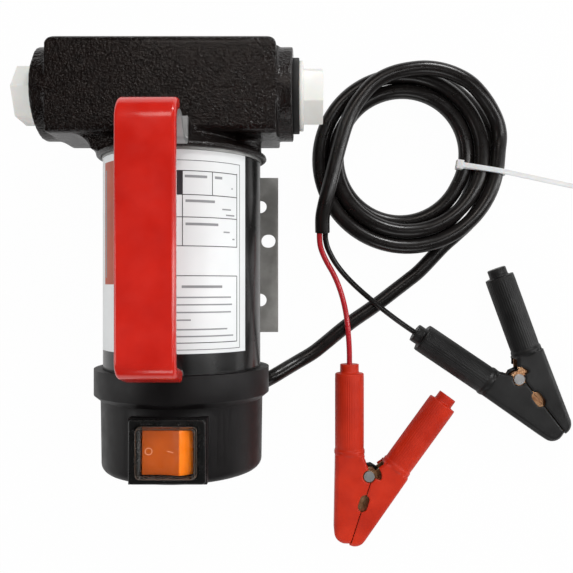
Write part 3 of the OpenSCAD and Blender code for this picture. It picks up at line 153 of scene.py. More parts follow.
SLEEVE_BUMPS = ((1900, 0.03, 3), (130, 0.08, 2))
PRINT_BUMPS = ((900, 0.005, 2),)
LOOKS = {
    "cast_black": dict(
        base=(0.0056, 0.003, 0.0026), light_tone=(0.0095, 0.006, 0.0052), rough=0.22,
        specular=0.42, coat=0.12, coat_rough=0.12, mottle=0.25, mottle_scale=240,
        bumps=((880, 0.5, 2), (2300, 0.07, 1))),
    "gloss_black": dict(
        base=(0.005, 0.0045, 0.0045), rough=0.25, rough_spread=0.03, coat=0.3, coat_rough=0.12,
        mottle=0.1, bumps=((260, 0.02, 3),)),
    "cap_black": dict(
        base=(0.0075, 0.0062, 0.0066), rough=0.44, rough_spread=0.05, specular=0.3, mottle=0.12,
        mottle_scale=90, bumps=((2600, 0.02, 3), (140, 0.03, 2))),
    "plug_white": dict(
        base=(0.77, 0.775, 0.74), light_tone=(0.82, 0.82, 0.79), rough=0.38, subsurface=0.3,
        mottle=0.03, bumps=((1500, 0.02, 3),)),
    "black_rubber": dict(
        base=(0.012, 0.012, 0.012), rough=0.6, mottle=0.2, bumps=((2400, 0.03, 3),)),
    "label_silver": dict(
        base=(0.83, 0.855, 0.86), light_tone=(0.86, 0.885, 0.89), rough=0.34, rough_spread=0.01,
        metallic=0.05, specular=0.35, coat=0.1, coat_rough=0.15, mottle=0.01,
        bumps=((40, 0.01, 1),)),
    "switch_black": dict(
        base=(0.009, 0.009, 0.009), rough=0.28, mottle=0.1, bumps=((2200, 0.01, 3),)),
    "rocker_amber": dict(
        base=(0.34, 0.055, 0.002), light_tone=(0.38, 0.066, 0.003), rough=0.26, subsurface=0.1,
        specular=0.12, mottle=0.08, bumps=((300, 0.01, 2),)),
    "cover_clear": dict(
        base=(0.98, 0.975, 0.96), rough=0.04, rough_spread=0.01, transmission=1.0, ior=1.18,
        mottle=0.01),
    "strap_steel": dict(
        base=(0.4, 0.4, 0.4), rough=0.42, metallic=0.6, mottle=0.15, mottle_scale=120,
        bumps=((1200, 0.02, 4),)),
    "grip_red": dict(
        base=(0.6, 0.0115, 0.005), light_tone=(0.66, 0.02, 0.011), rough=0.22, rough_spread=0.05,
        coat=0.35, coat_rough=0.12, subsurface=0.05, mottle=0.1, mottle_scale=50,
        bumps=((75, 0.22, 2), (900, 0.015, 3))),
    "bracket_grey": dict(
        base=(0.3, 0.292, 0.276), light_tone=(0.35, 0.342, 0.325), rough=0.5, rough_spread=0.1,
        metallic=0.15, mottle=0.14, mottle_scale=130, bumps=((1700, 0.05, 4),)),
    "cable_black": dict(
        base=(0.0085, 0.007, 0.0066), rough=0.3, coat=0.12, coat_rough=0.2, mottle=0.2,
        mottle_scale=110, bumps=((200, 0.04, 1), (2600, 0.005, 2))),
    "wire_red": dict(
        base=(0.48, 0.012, 0.02), rough=0.3, coat=0.25, mottle=0.12, bumps=((700, 0.03, 2),)),
    "tie_white": dict(
        base=(0.66, 0.67, 0.68), rough=0.34, subsurface=0.4, mottle=0.03,
        bumps=((900, 0.02, 2),)),
    "clamp_red": dict(
        base=(0.54, 0.021, 0.005), light_tone=(0.62, 0.03, 0.007), rough=0.4, specular=0.25,
        subsurface=0.05, mottle=0.1, mottle_scale=70, bumps=SLEEVE_BUMPS),
    "clamp_black": dict(
        base=(0.011, 0.0105, 0.0105), light_tone=(0.018, 0.018, 0.018), rough=0.42,
        specular=0.4, mottle=0.2, mottle_scale=70, bumps=SLEEVE_BUMPS),
    "jaw_copper": dict(
        base=(0.55, 0.24, 0.11), light_tone=(0.86, 0.5, 0.27), rough=0.3, metallic=0.85,
        mottle=0.18, mottle_scale=220, bumps=((1400, 0.02, 3),)),
    "steel": dict(
        base=(0.42, 0.42, 0.42), rough=0.34, metallic=0.6, mottle=0.12, mottle_scale=300,
        bumps=((1800, 0.015, 3),)),
    "spring_dark": dict(
        base=(0.05, 0.05, 0.05), rough=0.32, metallic=0.9, mottle=0.2,
        bumps=((1500, 0.02, 3),)),
    "machined_iron": dict(
        base=(0.3, 0.3, 0.3), rough=0.35, metallic=1.0, mottle=0.12, bumps=((1500, 0.02, 3),)),
    "flange_alloy": dict(
        base=(0.5, 0.5, 0.49), rough=0.42, metallic=0.9, mottle=0.14,
        bumps=((1100, 0.05, 4),)),
    "magnet_grey": dict(
        base=(0.07, 0.07, 0.075), rough=0.6, metallic=0.3, mottle=0.2,
        bumps=((1300, 0.05, 4),)),
    "lamination": dict(
        base=(0.24, 0.24, 0.25), rough=0.42, metallic=0.9, mottle=0.12,
        bumps=((2000, 0.03, 3),)),
    "copper": dict(
        base=(0.62, 0.27, 0.1), rough=0.3, metallic=0.9, mottle=0.16, bumps=((1500, 0.06, 4),)),
    "carbon": dict(
        base=(0.03, 0.03, 0.03), rough=0.55, metallic=0.2, mottle=0.2,
        bumps=((1700, 0.04, 4),)),
    "brush_board": dict(
        base=(0.2, 0.1, 0.04), rough=0.5, mottle=0.16, bumps=((900, 0.03, 4),)),
    "brass": dict(
        base=(0.68, 0.5, 0.2), rough=0.3, metallic=1.0, mottle=0.1, bumps=((1600, 0.02, 3),)),
    "print_dark": dict(base=(0.03, 0.03, 0.035), rough=0.4, mottle=0.1, bumps=PRINT_BUMPS),
    "print_grey": dict(base=(0.28, 0.29, 0.3), rough=0.4, mottle=0.08, bumps=PRINT_BUMPS),
    "print_orange": dict(base=(0.46, 0.09, 0.045), rough=0.4, mottle=0.06, bumps=PRINT_BUMPS),
    "cover_edge": dict(
        base=(0.09, 0.065, 0.05), rough=0.2, coat=0.3, mottle=0.05, bumps=((700, 0.01, 2),)),
    "mark_pale": dict(base=(0.62, 0.27, 0.13), rough=0.4, mottle=0.03, bumps=PRINT_BUMPS),
}
FINISH = {name: surface(name, **look) for name, look in LOOKS.items()}

# Painted highlight: the rocker's raised end is painted a lighter amber, as if it caught more
# light, from here on along X in metres.
LIT_FROM, LIT_FULL = 0.0052, 0.006
PAINTED_HIGHLIGHT_AMBER = (0.75, 0.17, 0.006, 1)
amber = FINISH["rocker_amber"].node_tree
amber_base = amber.nodes["Principled BSDF"].inputs["Base Color"]
amber_tint = amber_base.links[0].from_socket
amber_place = amber.nodes.new("ShaderNodeTexCoord")
amber_split = amber.nodes.new("ShaderNodeSeparateXYZ")
amber.links.new(amber_place.outputs["Object"], amber_split.inputs["Vector"])
highlight_step = add_node(amber.nodes, "MapRange", {"From Min": LIT_FROM, "From Max": LIT_FULL})
amber.links.new(amber_split.outputs["X"], highlight_step.inputs["Value"])
# Painted highlight: the lighter amber is blended in towards the raised end.
highlight_mix = amber.nodes.new("ShaderNodeMix")
highlight_mix.data_type = "RGBA"
highlight_mix.inputs["B"].default_value = PAINTED_HIGHLIGHT_AMBER
amber.links.new(highlight_step.outputs["Result"], highlight_mix.inputs["Factor"])
amber.links.new(amber_tint, highlight_mix.inputs["A"])
amber.links.new(highlight_mix.outputs["Result"], amber_base)

SLOTS = {row["node"]: row["material_slot"] for row in frame["record"]["subparts"]}
for node_name, node_object in frame["nodes"].items():
    finish_of = FINISH[SLOTS[node_name]]
    if node_object.material_slots:
        for entry in node_object.material_slots:
            entry.material = finish_of
    else:
        node_object.data.materials.append(finish_of)


# Building tools

def shade_smooth(mesh):
    mesh.polygons.foreach_set("use_smooth", [True] * len(mesh.polygons))


def add_object(name, mesh, material, body, stands_for=()):
    """A piece that rides a body, drawn in place of the CAD nodes in stands_for."""
    obj = link(bpy.data.objects.new(name, mesh))
    mesh.materials.clear()
    mesh.materials.append(FINISH[material])
    shade_smooth(mesh)
    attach(obj, body)
    if stands_for:
        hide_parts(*stands_for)
    return obj


def edit_mesh(mesh, change):
    """Calls change with a bmesh of the mesh and writes the result back."""
    work = bmesh.new()
    work.from_mesh(mesh)
    change(work)
    work.to_mesh(mesh)
    work.free()


def new_mesh(name, points, faces):
    mesh = bpy.data.meshes.new(name)
    mesh.from_pydata(metres(points), [], faces)
    edit_mesh(mesh, lambda work: bmesh.ops.recalc_face_normals(work, faces=work.faces))
    return mesh


def settle(obj):
    """Applies the modifiers, so that the mesh itself has the final shape."""
    bpy.context.view_layer.update()
    graph = bpy.context.evaluated_depsgraph_get()
    mesh = bpy.data.meshes.new_from_object(obj.evaluated_get(graph))
    obj.modifiers.clear()
    obj.data = mesh


def shade_by_angle(obj, degrees=40):
    """Smooth shading, except across edges that turn by more than this."""
    limit = math.radians(degrees)

    def mark(work):
        for face in work.faces:
            face.smooth = True
        for edge in work.edges:
            edge.smooth = not (len(edge.link_faces) == 2 and edge.calc_face_angle(0) > limit)

    edit_mesh(obj.data, mark)


SAME_PLACE = 2e-6  # metres
FLAT_ANGLE = math.radians(0.6)
BEVEL_ANGLE = math.radians(32)


def soften(name, node, body, width, segments=2):
    """The CAD solid with its sharp edges rounded by width."""
    mesh = frame["nodes"][node].data.copy()

    def merge_flats(work):
        bmesh.ops.remove_doubles(work, verts=work.verts, dist=SAME_PLACE)
        bmesh.ops.dissolve_limit(work, angle_limit=FLAT_ANGLE, verts=work.verts,
                                 edges=work.edges)

    edit_mesh(mesh, merge_flats)
    obj = add_object(name, mesh, SLOTS[node], body, (node,))
    bevel = obj.modifiers.new("edges", "BEVEL")
    bevel.width = width * MM
    bevel.segments = segments
    bevel.limit_method = "ANGLE"
    bevel.angle_limit = BEVEL_ANGLE
    settle(obj)
    shade_by_angle(obj, 35)
    return obj


def cast(name, node, body, voxel, rounds):
    """The CAD solid with cast or moulded edges: a fine voxel skin, relaxed a few times."""
    obj = add_object(name, frame["nodes"][node].data.copy(), SLOTS[node], body, (node,))
    skin = obj.modifiers.new("skin", "REMESH")
    skin.mode = "VOXEL"
    skin.voxel_size = voxel * MM
    relax = obj.modifiers.new("relax", "SMOOTH")
    relax.factor = 0.5
    relax.iterations = rounds
    settle(obj)
    shade_smooth(obj.data)
    return obj


def joined(parts):
    """One set of points and faces from several."""
    points, faces = [], []
    for more_points, more_faces in parts:
        base = len(points)
        points += more_points
        faces += [tuple(base + k for k in face) for face in more_faces]
    return points, faces


def stacked(rings, close_first=False, close_last=False, loop=False):
    """Walls between rings of equally many points, with ends closed or the last ring joined to
    the first."""
    points = [p for ring in rings for p in ring]
    m = len(rings[0])
    rows = len(rings) if loop else len(rings) - 1
    faces = []
    for i in range(rows):
        j = (i + 1) % len(rings)
        faces += [(i * m + k, i * m + (k + 1) % m, j * m + (k + 1) % m, j * m + k)
                  for k in range(m)]
    if close_first:
        faces.append(tuple(range(m)))
    if close_last:
        faces.append(tuple((len(rings) - 1) * m + k for k in range(m)))
    return points, faces


def about_axis(r, angle, y):
    """Point at radius r about the motor's axis, the angle counted from the top to the right."""
    return (r * math.sin(angle), y, AXIS_Z + r * math.cos(angle))


ARC_STEP = 2.0  # degrees
LATHE_STEPS = 192


def arc_strip(r, left, right, y0, y1):
    """Patch about the motor's axis between two angles in degrees and two places along Y."""
    count = max(1, math.ceil((right - left) / ARC_STEP))
    points = []
    for i in range(count + 1):
        angle = math.radians(left + (right - left) * i / count)
        points += [about_axis(r, angle, y) for y in (y0, y1)]
    faces = [(2 * i, 2 * i + 1, 2 * i + 3, 2 * i + 2) for i in range(count)]
    return points, faces


def lathe(profile):
    """Closed solid of revolution about the motor's axis, from points (radius, y)."""
    angles = [2 * math.pi * i / LATHE_STEPS for i in range(LATHE_STEPS)]
    return stacked([[about_axis(r, angle, y) for r, y in profile] for angle in angles], loop=True)


def rounded_outline(centre, half, corner, steps):
    """Rounded rectangle about a centre, each corner's arc cut into so many steps."""
    out = []
    for sx, sy, start in ((1, 1, 0), (-1, 1, 90), (-1, -1, 180), (1, -1, 270)):
        for k in range(steps + 1):
            a = math.radians(start + 90 * k / steps)
            out.append((centre[0] + sx * (half[0] - corner) + corner * math.cos(a),
                        centre[1] + sy * (half[1] - corner) + corner * math.sin(a)))
    return out


BEND_STEP = 6  # degrees


def rounded_path(corners):
    """Points along a path in a plane, with each corner (x, y, radius) rounded off."""
    out = [Vector(corners[0][:2])]
    for before, corner, after in zip(corners, corners[1:], corners[2:]):
        a, b, c = Vector(before[:2]), Vector(corner[:2]), Vector(after[:2])
        u, v = (b - a).normalized(), (c - b).normalized()
        turn = u.angle_signed(v) * -1
        start = b - u * corner[2] * math.tan(abs(turn) / 2)
        side = 1 if turn > 0 else -1
        centre = start + Vector((-u.y, u.x)) * side * corner[2]
        steps = max(3, math.ceil(abs(math.degrees(turn)) / BEND_STEP))
        for i in range(steps + 1):
            t = turn * i / steps
            d = Vector((u.x * math.cos(t) - u.y * math.sin(t),
                        u.x * math.sin(t) + u.y * math.cos(t)))
            out.append(centre - Vector((-d.y, d.x)) * side * corner[2])
    out.append(Vector(corners[-1][:2]))
    return out


ROUTE_STEPS = 8


def smooth_route(points):
    """Points of a smooth curve through a route."""
    p = [Vector(q) for q in points]
    p = [2 * p[0] - p[1]] + p + [2 * p[-1] - p[-2]]
    out = []
    for i in range(1, len(p) - 2):
        for k in range(ROUTE_STEPS):
            t = k / ROUTE_STEPS
            out.append(0.5 * ((2 * p[i]) + (p[i + 1] - p[i - 1]) * t
                              + (2 * p[i - 1] - 5 * p[i] + 4 * p[i + 1] - p[i + 2]) * t * t
                              + (3 * p[i] - p[i - 1] - 3 * p[i + 1] + p[i + 2]) * t ** 3))
    out.append(p[-2])
    return out


def tube_curve(name, points, radius, material, body, stands_for=()):
    """A cord, as an open curve with a round section."""
    data = bpy.data.curves.new(name, "CURVE")
    data.dimensions = "3D"
    line = data.splines.new("POLY")
    line.points.add(len(points) - 1)
    for spot, p in zip(line.points, points):
        spot.co = (p[0] * MM, p[1] * MM, p[2] * MM, 1)
    line.use_smooth = True
    data.bevel_depth = radius * MM
    data.bevel_resolution = 7
    data.use_fill_caps = True
    data.materials.append(FINISH[material])
    obj = link(bpy.data.objects.new(name, data))
    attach(obj, body)
    if stands_for:
        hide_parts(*stands_for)
    return obj


# Cords. Each route is a list of points (x, y, z), in the order from the pump to the clamps.

CABLE_R = 3.7
WIRE_R = 1.4
COIL = {"x": 107.7, "y": 48.6, "r": 47.5, "pitch": 8, "start": -48, "turns": 4.12, "z": 4.9}
COIL_STEPS = 418

lead_route = [
    (34, -66.8, 12.5), (40.6, -63.3, 12.5), (47.4, -59.6, 8.4), (54, -56, 5.2), (61, -51.9, 4),
    (68, -46.4, 3.8), (75, -40.6, 3.8), (82, -35.2, 3.8), (89, -30.4, 3.8), (96, -25.4, 3.8),
    (103, -20, 3.8), (110, -14.6, 3.9), (117, -8.8, 4.3)]
tail_route = [
    (154.6, 66, 14.4), (150.6, 72.6, 17.2), (145.2, 79, 19.8), (139.2, 84.6, 20.9),
    (132, 88.6, 21), (124.6, 91, 21), (117, 91.9, 21), (109.4, 91.3, 21), (102.2, 89.8, 21),
    (95.8, 87.2, 21), (90.4, 83.6, 21), (85.6, 78.4, 21), (81, 71.8, 21), (77.4, 64, 21),
    (74.6, 55, 21), (72.2, 46, 21), (70, 37, 21), (68.2, 29.6, 20.8), (66.6, 23, 20),
    (65.6, 17.3, 18.7), (65.6, 10, 16.9)]
red_route = [
    (64.1, 10, 16.9), (64.1, 7, 16.16), (64.6, 3, 15.1), (66, -1, 13.8), (68.2, -5.4, 12.3),
    (71.4, -11, 10.8), (74.2, -17.4, 9.8), (76.4, -24.4, 9.2), (77.9, -31.6, 9.5),
    (78.8, -39, 9.5), (79.4, -46, 8.9), (79.7, -52, 8), (79.75, -57.4, 7.6)]
black_route = [
    (67.1, 10, 16.9), (67.1, 7, 16.16), (68, 3, 15.1), (69.6, -0.6, 14), (72, -4.8, 12.6),
    (75.6, -9.6, 11.2), (79.8, -14.2, 10.2), (84.4, -18.6, 9.6), (89.2, -22.8, 9.5),
    (94, -26.8, 9.5), (98.8, -30.6, 9.2), (103.6, -34.2, 8.5), (108.4, -37.6, 7.8),
    (113.4, -41, 7.6)]


def coil_angle(turn):
    return math.radians(COIL["start"] + 360 * turn)


def coil_point(turn):
    """Point of the coil, which winds inwards on the floor and back outwards one layer up."""
    half = COIL["turns"] / 2
    r = COIL["r"] - COIL["pitch"] * (half - abs(half - turn))
    c = min(max((turn - half) * 2 + 0.5, 0), 1)
    a = coil_angle(turn)
    return (COIL["x"] + r * math.cos(a), COIL["y"] + r * math.sin(a),
            COIL["z"] + COIL["pitch"] * (3 - 2 * c) * c * c)


def heading(turn):
    a = coil_angle(turn)
    return Vector((-math.sin(a), math.cos(a), 0))


coil_loops = [coil_point(COIL["turns"] * i / COIL_STEPS) for i in range(COIL_STEPS + 1)]
way_in = 2 * CABLE_R * heading(0)
way_out = 2 * CABLE_R * heading(COIL["turns"])
coil_first = Vector(coil_loops[0]) - way_in
coil_last = Vector(coil_loops[-1]) + way_out
lead_line = smooth_route(lead_route + [tuple(coil_first - way_in), tuple(coil_first)])
tail_line = smooth_route([tuple(coil_last), tuple(coil_last + way_out)] + tail_route)
cable_line = lead_line + [Vector(p) for p in coil_loops] + tail_line

cable = tube_curve("power_cord", cable_line, CABLE_R, "cable_black", "pump_body",
                   ("power_cable", "cable_coil", "cable_tail"))
red_line = smooth_route(red_route)
black_line = smooth_route(black_route)
red_lead = tube_curve("red_lead", red_line, WIRE_R, "wire_red", "pump_body", ("red_wire",))
black_lead = tube_curve("black_lead", black_line, WIRE_R, "cable_black", "pump_body",
                        ("black_wire",))


# Pump head. Its upper edge lies 1.2 mm too low in the CAD, so the top is raised, and the front
# block's two upper corners are rounded.

CORNER = 4.5
TOP_Y = 91.9
BLOCK_ENDS = ((44.5, 1), (-57.5, -1))  # X of each end, and the way it faces
FRONT_Z = 52
RISE = 1.2
RISE_Y = 84
RISE_SPAN = 5
END_SLACK = 0.6  # the casting's skin may lie this far outside the block's end

head = cast("head_casting", "pump_head", "pump_body", 0.7, 2)
for spot in head.data.vertices:
    x, y, z = (c / MM for c in spot.co)
    if y > RISE_Y:
        if z > FRONT_Z:
            for side, sign in BLOCK_ENDS:
                dx, dy = (x - side) * sign + CORNER, y - TOP_Y + CORNER
                reach = math.hypot(dx, dy)
                if 0 < dx < CORNER + END_SLACK and dy > 0 and reach > CORNER:
                    x = side - sign * CORNER + sign * dx * CORNER / reach
                    y = TOP_Y - CORNER + dy * CORNER / reach
        rise = min(1, (y - RISE_Y) / RISE_SPAN)
        spot.co = (x * MM, (y + RISE * rise * rise * (3 - 2 * rise)) * MM, z * MM)


# Motor tube and label

TUBE_PROFILE = [(33.6, -64), (35.6, -64), (36, -63.6), (36, 39.8), (35.6, 40.2), (33.6, 40.2)]
LABEL_R = 36.23
LABEL_SPAN = (-68, 58)
LABEL_Y = (-45.6, 40.1)
LABEL_THICK = 0.2
INK_R = LABEL_R + 0.03

tube = add_object("motor_can", new_mesh("tube", *lathe(TUBE_PROFILE)), "gloss_black",
                  "pump_body", ("motor_tube",))
shade_by_angle(tube)

sheet = new_mesh("label_sheet", *arc_strip(LABEL_R, *LABEL_SPAN, *LABEL_Y))
label = add_object("label_sheet", sheet, "label_silver", "pump_body", ("label",))
edge = label.modifiers.new("sheet", "SOLIDIFY")
edge.thickness = LABEL_THICK * MM
edge.offset = -1
settle(label)
shade_by_angle(label)

# Print on the label, in degrees about the axis from the top and in places along Y
BORDER, BORDER_Y = (-42, 52), (-43.9, 35.6)
BOX = (-40, 49.3)
DATA_Y = (-0.3, 31.2)
NOTICE_Y = (-41, -12.8)
DATA_ROWS = (21.2, 11.8)
PATCH = (5.2, 9.5)  # the dark patch at the left of the upper row
COLUMN = 29.7
BAND = (-59, -43.5, -16.4, 37)
BAND_BAR = (-57, -55.2, -13.5, 33.5)
BOLD, FINE = 0.55, 0.3  # half the height of a bar that stands for words
BOLD_WORDS = (
    (28.9, ((11, 26), (31.5, 37))), (18.6, ((11.5, 31.5),)), (8.9, ((11.5, 34),)),
    (-17.4, ((9, 37),)))
FINE_WORDS = (
    (24.8, ((44.5, 45.6),)), (15.6, ((37, 44),)), (13.2, ((40, 47),)), (5.9, ((38, 43),)),
    (3, ((45.3, 47.2),)), (-21.9, ((-34, 44),)), (-25, ((-34, 45),)), (-28.2, ((-34, 44),)),
    (-31.4, ((-34, 15),)), (-35.4, ((-34, 41),)), (-38.3, ((-34, 46),)))


def line_x(left, right, y, w=0.35):
    return arc_strip(INK_R, left, right, y - w / 2, y + w / 2)


def line_y(at, y0, y1, w=0.55):
    return arc_strip(INK_R, at - w / 2, at + w / 2, y0, y1)


def word_bars(lines, half):
    return [arc_strip(INK_R, a, b, y - half, y + half) for y, spans in lines for a, b in spans]


rules = [
    line_y(BORDER[1], *BORDER_Y, 0.4), line_x(*BORDER, BORDER_Y[1], 0.25),
    line_x(*BORDER, BORDER_Y[0], 0.25),
    line_y(BOX[1], DATA_Y[0], DATA_Y[1] + 0.4), line_x(*BOX, DATA_Y[1]),
    line_x(PATCH[0], BOX[1], DATA_ROWS[0]), line_x(*BOX, DATA_ROWS[1]),
    line_x(*BOX, DATA_Y[0]), line_y(PATCH[1], *DATA_Y), line_y(COLUMN, DATA_ROWS[0], DATA_Y[1]),
    arc_strip(INK_R, *PATCH, DATA_ROWS[0], DATA_Y[1]),
    line_y(BOX[1], *NOTICE_Y), line_x(*BOX, NOTICE_Y[1]), line_x(*BOX, NOTICE_Y[0]),
    line_y(BOX[0], *NOTICE_Y), line_y(BOX[0], *DATA_Y)]
bars = word_bars(BOLD_WORDS, BOLD) + word_bars(FINE_WORDS, FINE)
bars.append(arc_strip(INK_R + 0.02, *BAND_BAR))
band = [arc_strip(INK_R, *BAND)]
for name, parts, ink in (("label_lines", rules, "print_dark"), ("label_bars", bars, "print_grey"),
                         ("label_band", band, "print_orange")):
    add_object(name, new_mesh(name, *joined(parts)), ink, "pump_body")


# End cap

soften("cap_moulding", "end_cap", "pump_body", 0.5, 3)


# Switch

SWITCH = (0.4, -85.5)
SEAT_Z = 84
BEZEL_Z = 86
BACK_Z = SEAT_Z - 18
ROCKER_Z = 82
ROCKER_TILT = math.radians(10)


def walls(rows, **ends):
    """Rounded rectangles (width, height, corner, z) about the switch's middle, joined."""
    return stacked([[(x, y, z) for x, y in rounded_outline(SWITCH, (w / 2, h / 2), r, 6)]
                    for w, h, r, z in rows], **ends)


bezel_walls = walls([
    (32, 26.8, 1.6, SEAT_Z), (32, 26.8, 1.6, BEZEL_Z - 0.7), (31.7, 26.5, 1.5, BEZEL_Z - 0.3),
    (31.2, 26, 1.3, BEZEL_Z - 0.08), (30.4, 25.2, 1.1, BEZEL_Z), (22.6, 21.2, 0.7, BEZEL_Z),
    (21.9, 20.5, 0.6, BEZEL_Z - 0.12), (21.4, 20, 0.5, BEZEL_Z - 0.5),
    (21.2, 19.8, 0.4, SEAT_Z - 8.5), (21.2, 19.8, 0.4, SEAT_Z - 9)], close_last=True)
back_walls = walls([
    (29, 24, 0.4, SEAT_Z), (29, 24, 0.4, BACK_Z + 0.3), (28.4, 23.4, 0.3, BACK_Z)],
    close_last=True)

BLADES_X = (-8.4, 0, 8.4)
BLADE_HALF = (0.4, 3.15)
BLADE_Z = (BACK_Z + 0.5, BACK_Z - 8)
blades = []
for x in BLADES_X:
    corners = [(SWITCH[0] + x + sx * BLADE_HALF[0], SWITCH[1] + sy * BLADE_HALF[1], z)
               for z in BLADE_Z for sx, sy in ((-1, -1), (1, -1), (1, 1), (-1, 1))]
    blades.append((corners, [(0, 1, 5, 4), (1, 2, 6, 5), (2, 3, 7, 6), (3, 0, 4, 7),
                             (4, 5, 6, 7)]))
bezel = add_object("switch_frame", new_mesh("frame", *joined([bezel_walls, back_walls] + blades)),
                   "switch_black", "pump_body", ("switch_body",))
shade_by_angle(bezel)


def rocker_point(u, v, h):
    """Point of the rocker at rest, u along it, v across it and h above its middle."""
    return (SWITCH[0] + u * math.cos(ROCKER_TILT) - h * math.sin(ROCKER_TILT), SWITCH[1] + v,
            ROCKER_Z + u * math.sin(ROCKER_TILT) + h * math.cos(ROCKER_TILT))


# The raised end's upper edge is drawn back and down, which makes its sloping facet.
FACET_FROM = (7, 2)
FACET_BACK, FACET_DOWN = 4, 0.9
rocker = soften("rocker_key", "switch_rocker", "switch_rocker", 0.4)
for spot in rocker.data.vertices:
    x, z = spot.co.x / MM - SWITCH[0], spot.co.z / MM - ROCKER_Z
    u = x * math.cos(ROCKER_TILT) + z * math.sin(ROCKER_TILT)
    h = z * math.cos(ROCKER_TILT) - x * math.sin(ROCKER_TILT)
    if u > FACET_FROM[0] and h > FACET_FROM[1]:
        moved = rocker_point(u - FACET_BACK, 0, h - FACET_DOWN)
        spot.co.x, spot.co.z = moved[0] * MM, moved[2] * MM

DISH = ((-9.8, 4.2), (-5.1, 3.0), (0, 2.6), (5.1, 3.0), (9.8, 4.2))  # the top, as (u, h)
MARK_LIFT = 0.06
RING_U = -7.2
RING_RADII = (1.2, 1.5)
RING_STEPS = 36
BAR = ((0.4, 0.35), (3.1, -0.15), (3.15, -0.45), (0.45, 0.05))


def on_rocker(u, v):
    """Point just above the rocker's dished top at rest."""
    (u0, h0), (u1, h1) = next(pair for pair in zip(DISH, DISH[1:]) if u <= pair[1][0])
    return rocker_point(u, v, h0 + (h1 - h0) * (u - u0) / (u1 - u0) + MARK_LIFT)


ring_points, ring_faces = [], []
for i in range(RING_STEPS):
    a = 2 * math.pi * i / RING_STEPS
    j = (i + 1) % RING_STEPS
    ring_points += [on_rocker(RING_U + r * math.cos(a), r * math.sin(a)) for r in RING_RADII]
    ring_faces.append((2 * i, 2 * i + 1, 2 * j + 1, 2 * j))
bar_mark = ([on_rocker(u, v) for u, v in BAR], [(0, 1, 2, 3)])
mesh = new_mesh("marks", *joined([(ring_points, ring_faces), bar_mark]))
add_object("rocker_marks", mesh, "mark_pale", "switch_rocker")

# Clear cover: its outside and inside walls, with a foot between them
COVER_TOP = BEZEL_Z + 3.3
outside = walls([
    (26.6, 22.9, 2, BEZEL_Z), (26.6, 22.9, 2, BEZEL_Z + 0.6), (26.2, 22.5, 1.9, BEZEL_Z + 0.8),
    (24.9, 21.2, 2, BEZEL_Z + 0.85), (24.6, 20.9, 2, BEZEL_Z + 1.2), (24.5, 20.8, 2, COVER_TOP),
    (24.1, 20.4, 1.8, BEZEL_Z + 3.75), (23.3, 19.6, 1.5, BEZEL_Z + 3.9)], close_last=True)
inside = walls([
    (23, 19.3, 1.3, COVER_TOP), (23.4, 19.7, 1.4, BEZEL_Z + 2.9), (23.4, 19.7, 1.4, BEZEL_Z)],
    close_first=True)
m = len(inside[0]) // 3
last_ring = len(outside[0]) + 2 * m
foot = [(k, (k + 1) % m, last_ring + (k + 1) % m, last_ring + k) for k in range(m)]
points, faces = joined([outside, inside])
cover = add_object("splash_cover", new_mesh("cover", points, faces + foot), "cover_clear",
                   "pump_body", ("switch_cover",))
cover.visible_shadow = False
shade_by_angle(cover)

# Painted shade: dark beads along the clear cover's top edge and its foot stand in for the dark
# lines that light makes at the clear edges.
BEAD = 0.3
beads = []
for w, h, r, z in ((24.2, 20.5, 1.8, BEZEL_Z + 3.72), (24.9, 21.2, 2, BEZEL_Z + 0.8)):
    turns = [(math.cos(k * math.pi / 3), math.sin(k * math.pi / 3)) for k in range(6)]
    beads.append(walls([(w - BEAD * c, h - BEAD * c, r, z + BEAD / 2 * s) for c, s in turns],
                       loop=True))
add_object("cover_edge_shade", new_mesh("beads", *joined(beads)), "cover_edge", "pump_body")


# Handle

HEAD_Y = 43.2
RIM_Y = -54.5
STRAP_Z = 122.7
GRIP_HALF = (2.4, 11.1)  # across the strap and along X
GRIP_CORNER = 1.45
GRIP_STEP = 2.5
GRIP_ENDS = ((0, 1.0), (0.25, 0.45), (0.8, 0.12), (1.5, 0))  # (place from the end, inset)
END_REACH = 1.8

soften("carry_strap", "handle_strap", "pump_body", 0.35)
soften("foot_screw", "handle_screw", "pump_body", 0.3)


def swept_grip(path):
    """Rounded section swept along a path in the plane of Y and Z, drawn in at both ends."""
    marks = []
    for i, p in enumerate(path):
        d = (path[min(i + 1, len(path) - 1)] - path[max(i - 1, 0)]).normalized()
        marks.append((p, Vector((-d.y, d.x)) * -1, d))
    fine = []
    for (p, out_p, d), (q, out_q, e) in zip(marks, marks[1:]):
        parts = max(1, round((q - p).length / GRIP_STEP))
        for k in range(parts):
            t = k / parts
            fine.append((p.lerp(q, t), out_p.lerp(out_q, t).normalized(),
                         d.lerp(e, t).normalized()))
    fine.append(marks[-1])
    (first, first_out, first_way), (last, last_out, last_way) = fine[0], fine[-1]
    rows = [(first + first_way * back, first_out, inset) for back, inset in GRIP_ENDS]
    rows += [(p, out, 0) for p, out, _ in fine
             if (p - first).length > END_REACH and (p - last).length > END_REACH]
    rows += [(last - last_way * back, last_out, inset) for back, inset in reversed(GRIP_ENDS)]
    rings = []
    for p, out, inset in rows:
        section = rounded_outline((0, 0), [side - inset for side in GRIP_HALF], GRIP_CORNER, 5)
        rings.append([(along, *(p + out * across)) for across, along in section])
    return stacked(rings, close_first=True, close_last=True)


grip_path = rounded_path([
    (HEAD_Y + 7.1, STRAP_Z - 8.2, 0), (HEAD_Y + 7.1, STRAP_Z, 7.5), (RIM_Y + 6.4, STRAP_Z, 4.6),
    (RIM_Y + 3.0, STRAP_Z - 14.2, 0)])
grip = add_object("dipped_grip", new_mesh("grip", *swept_grip(grip_path)), "grip_red",
                  "pump_body", ("handle_grip",))
shade_by_angle(grip, 50)


# Bracket, bypass, plugs, seals, gland and cable tie

# The bypass nut is drawn lower than in the CAD, because the photo shows none of it above the
# head. Both numbers are in metres.
NUT_FOOT_Y = 0.0945
NUT_DROP = 0.0018

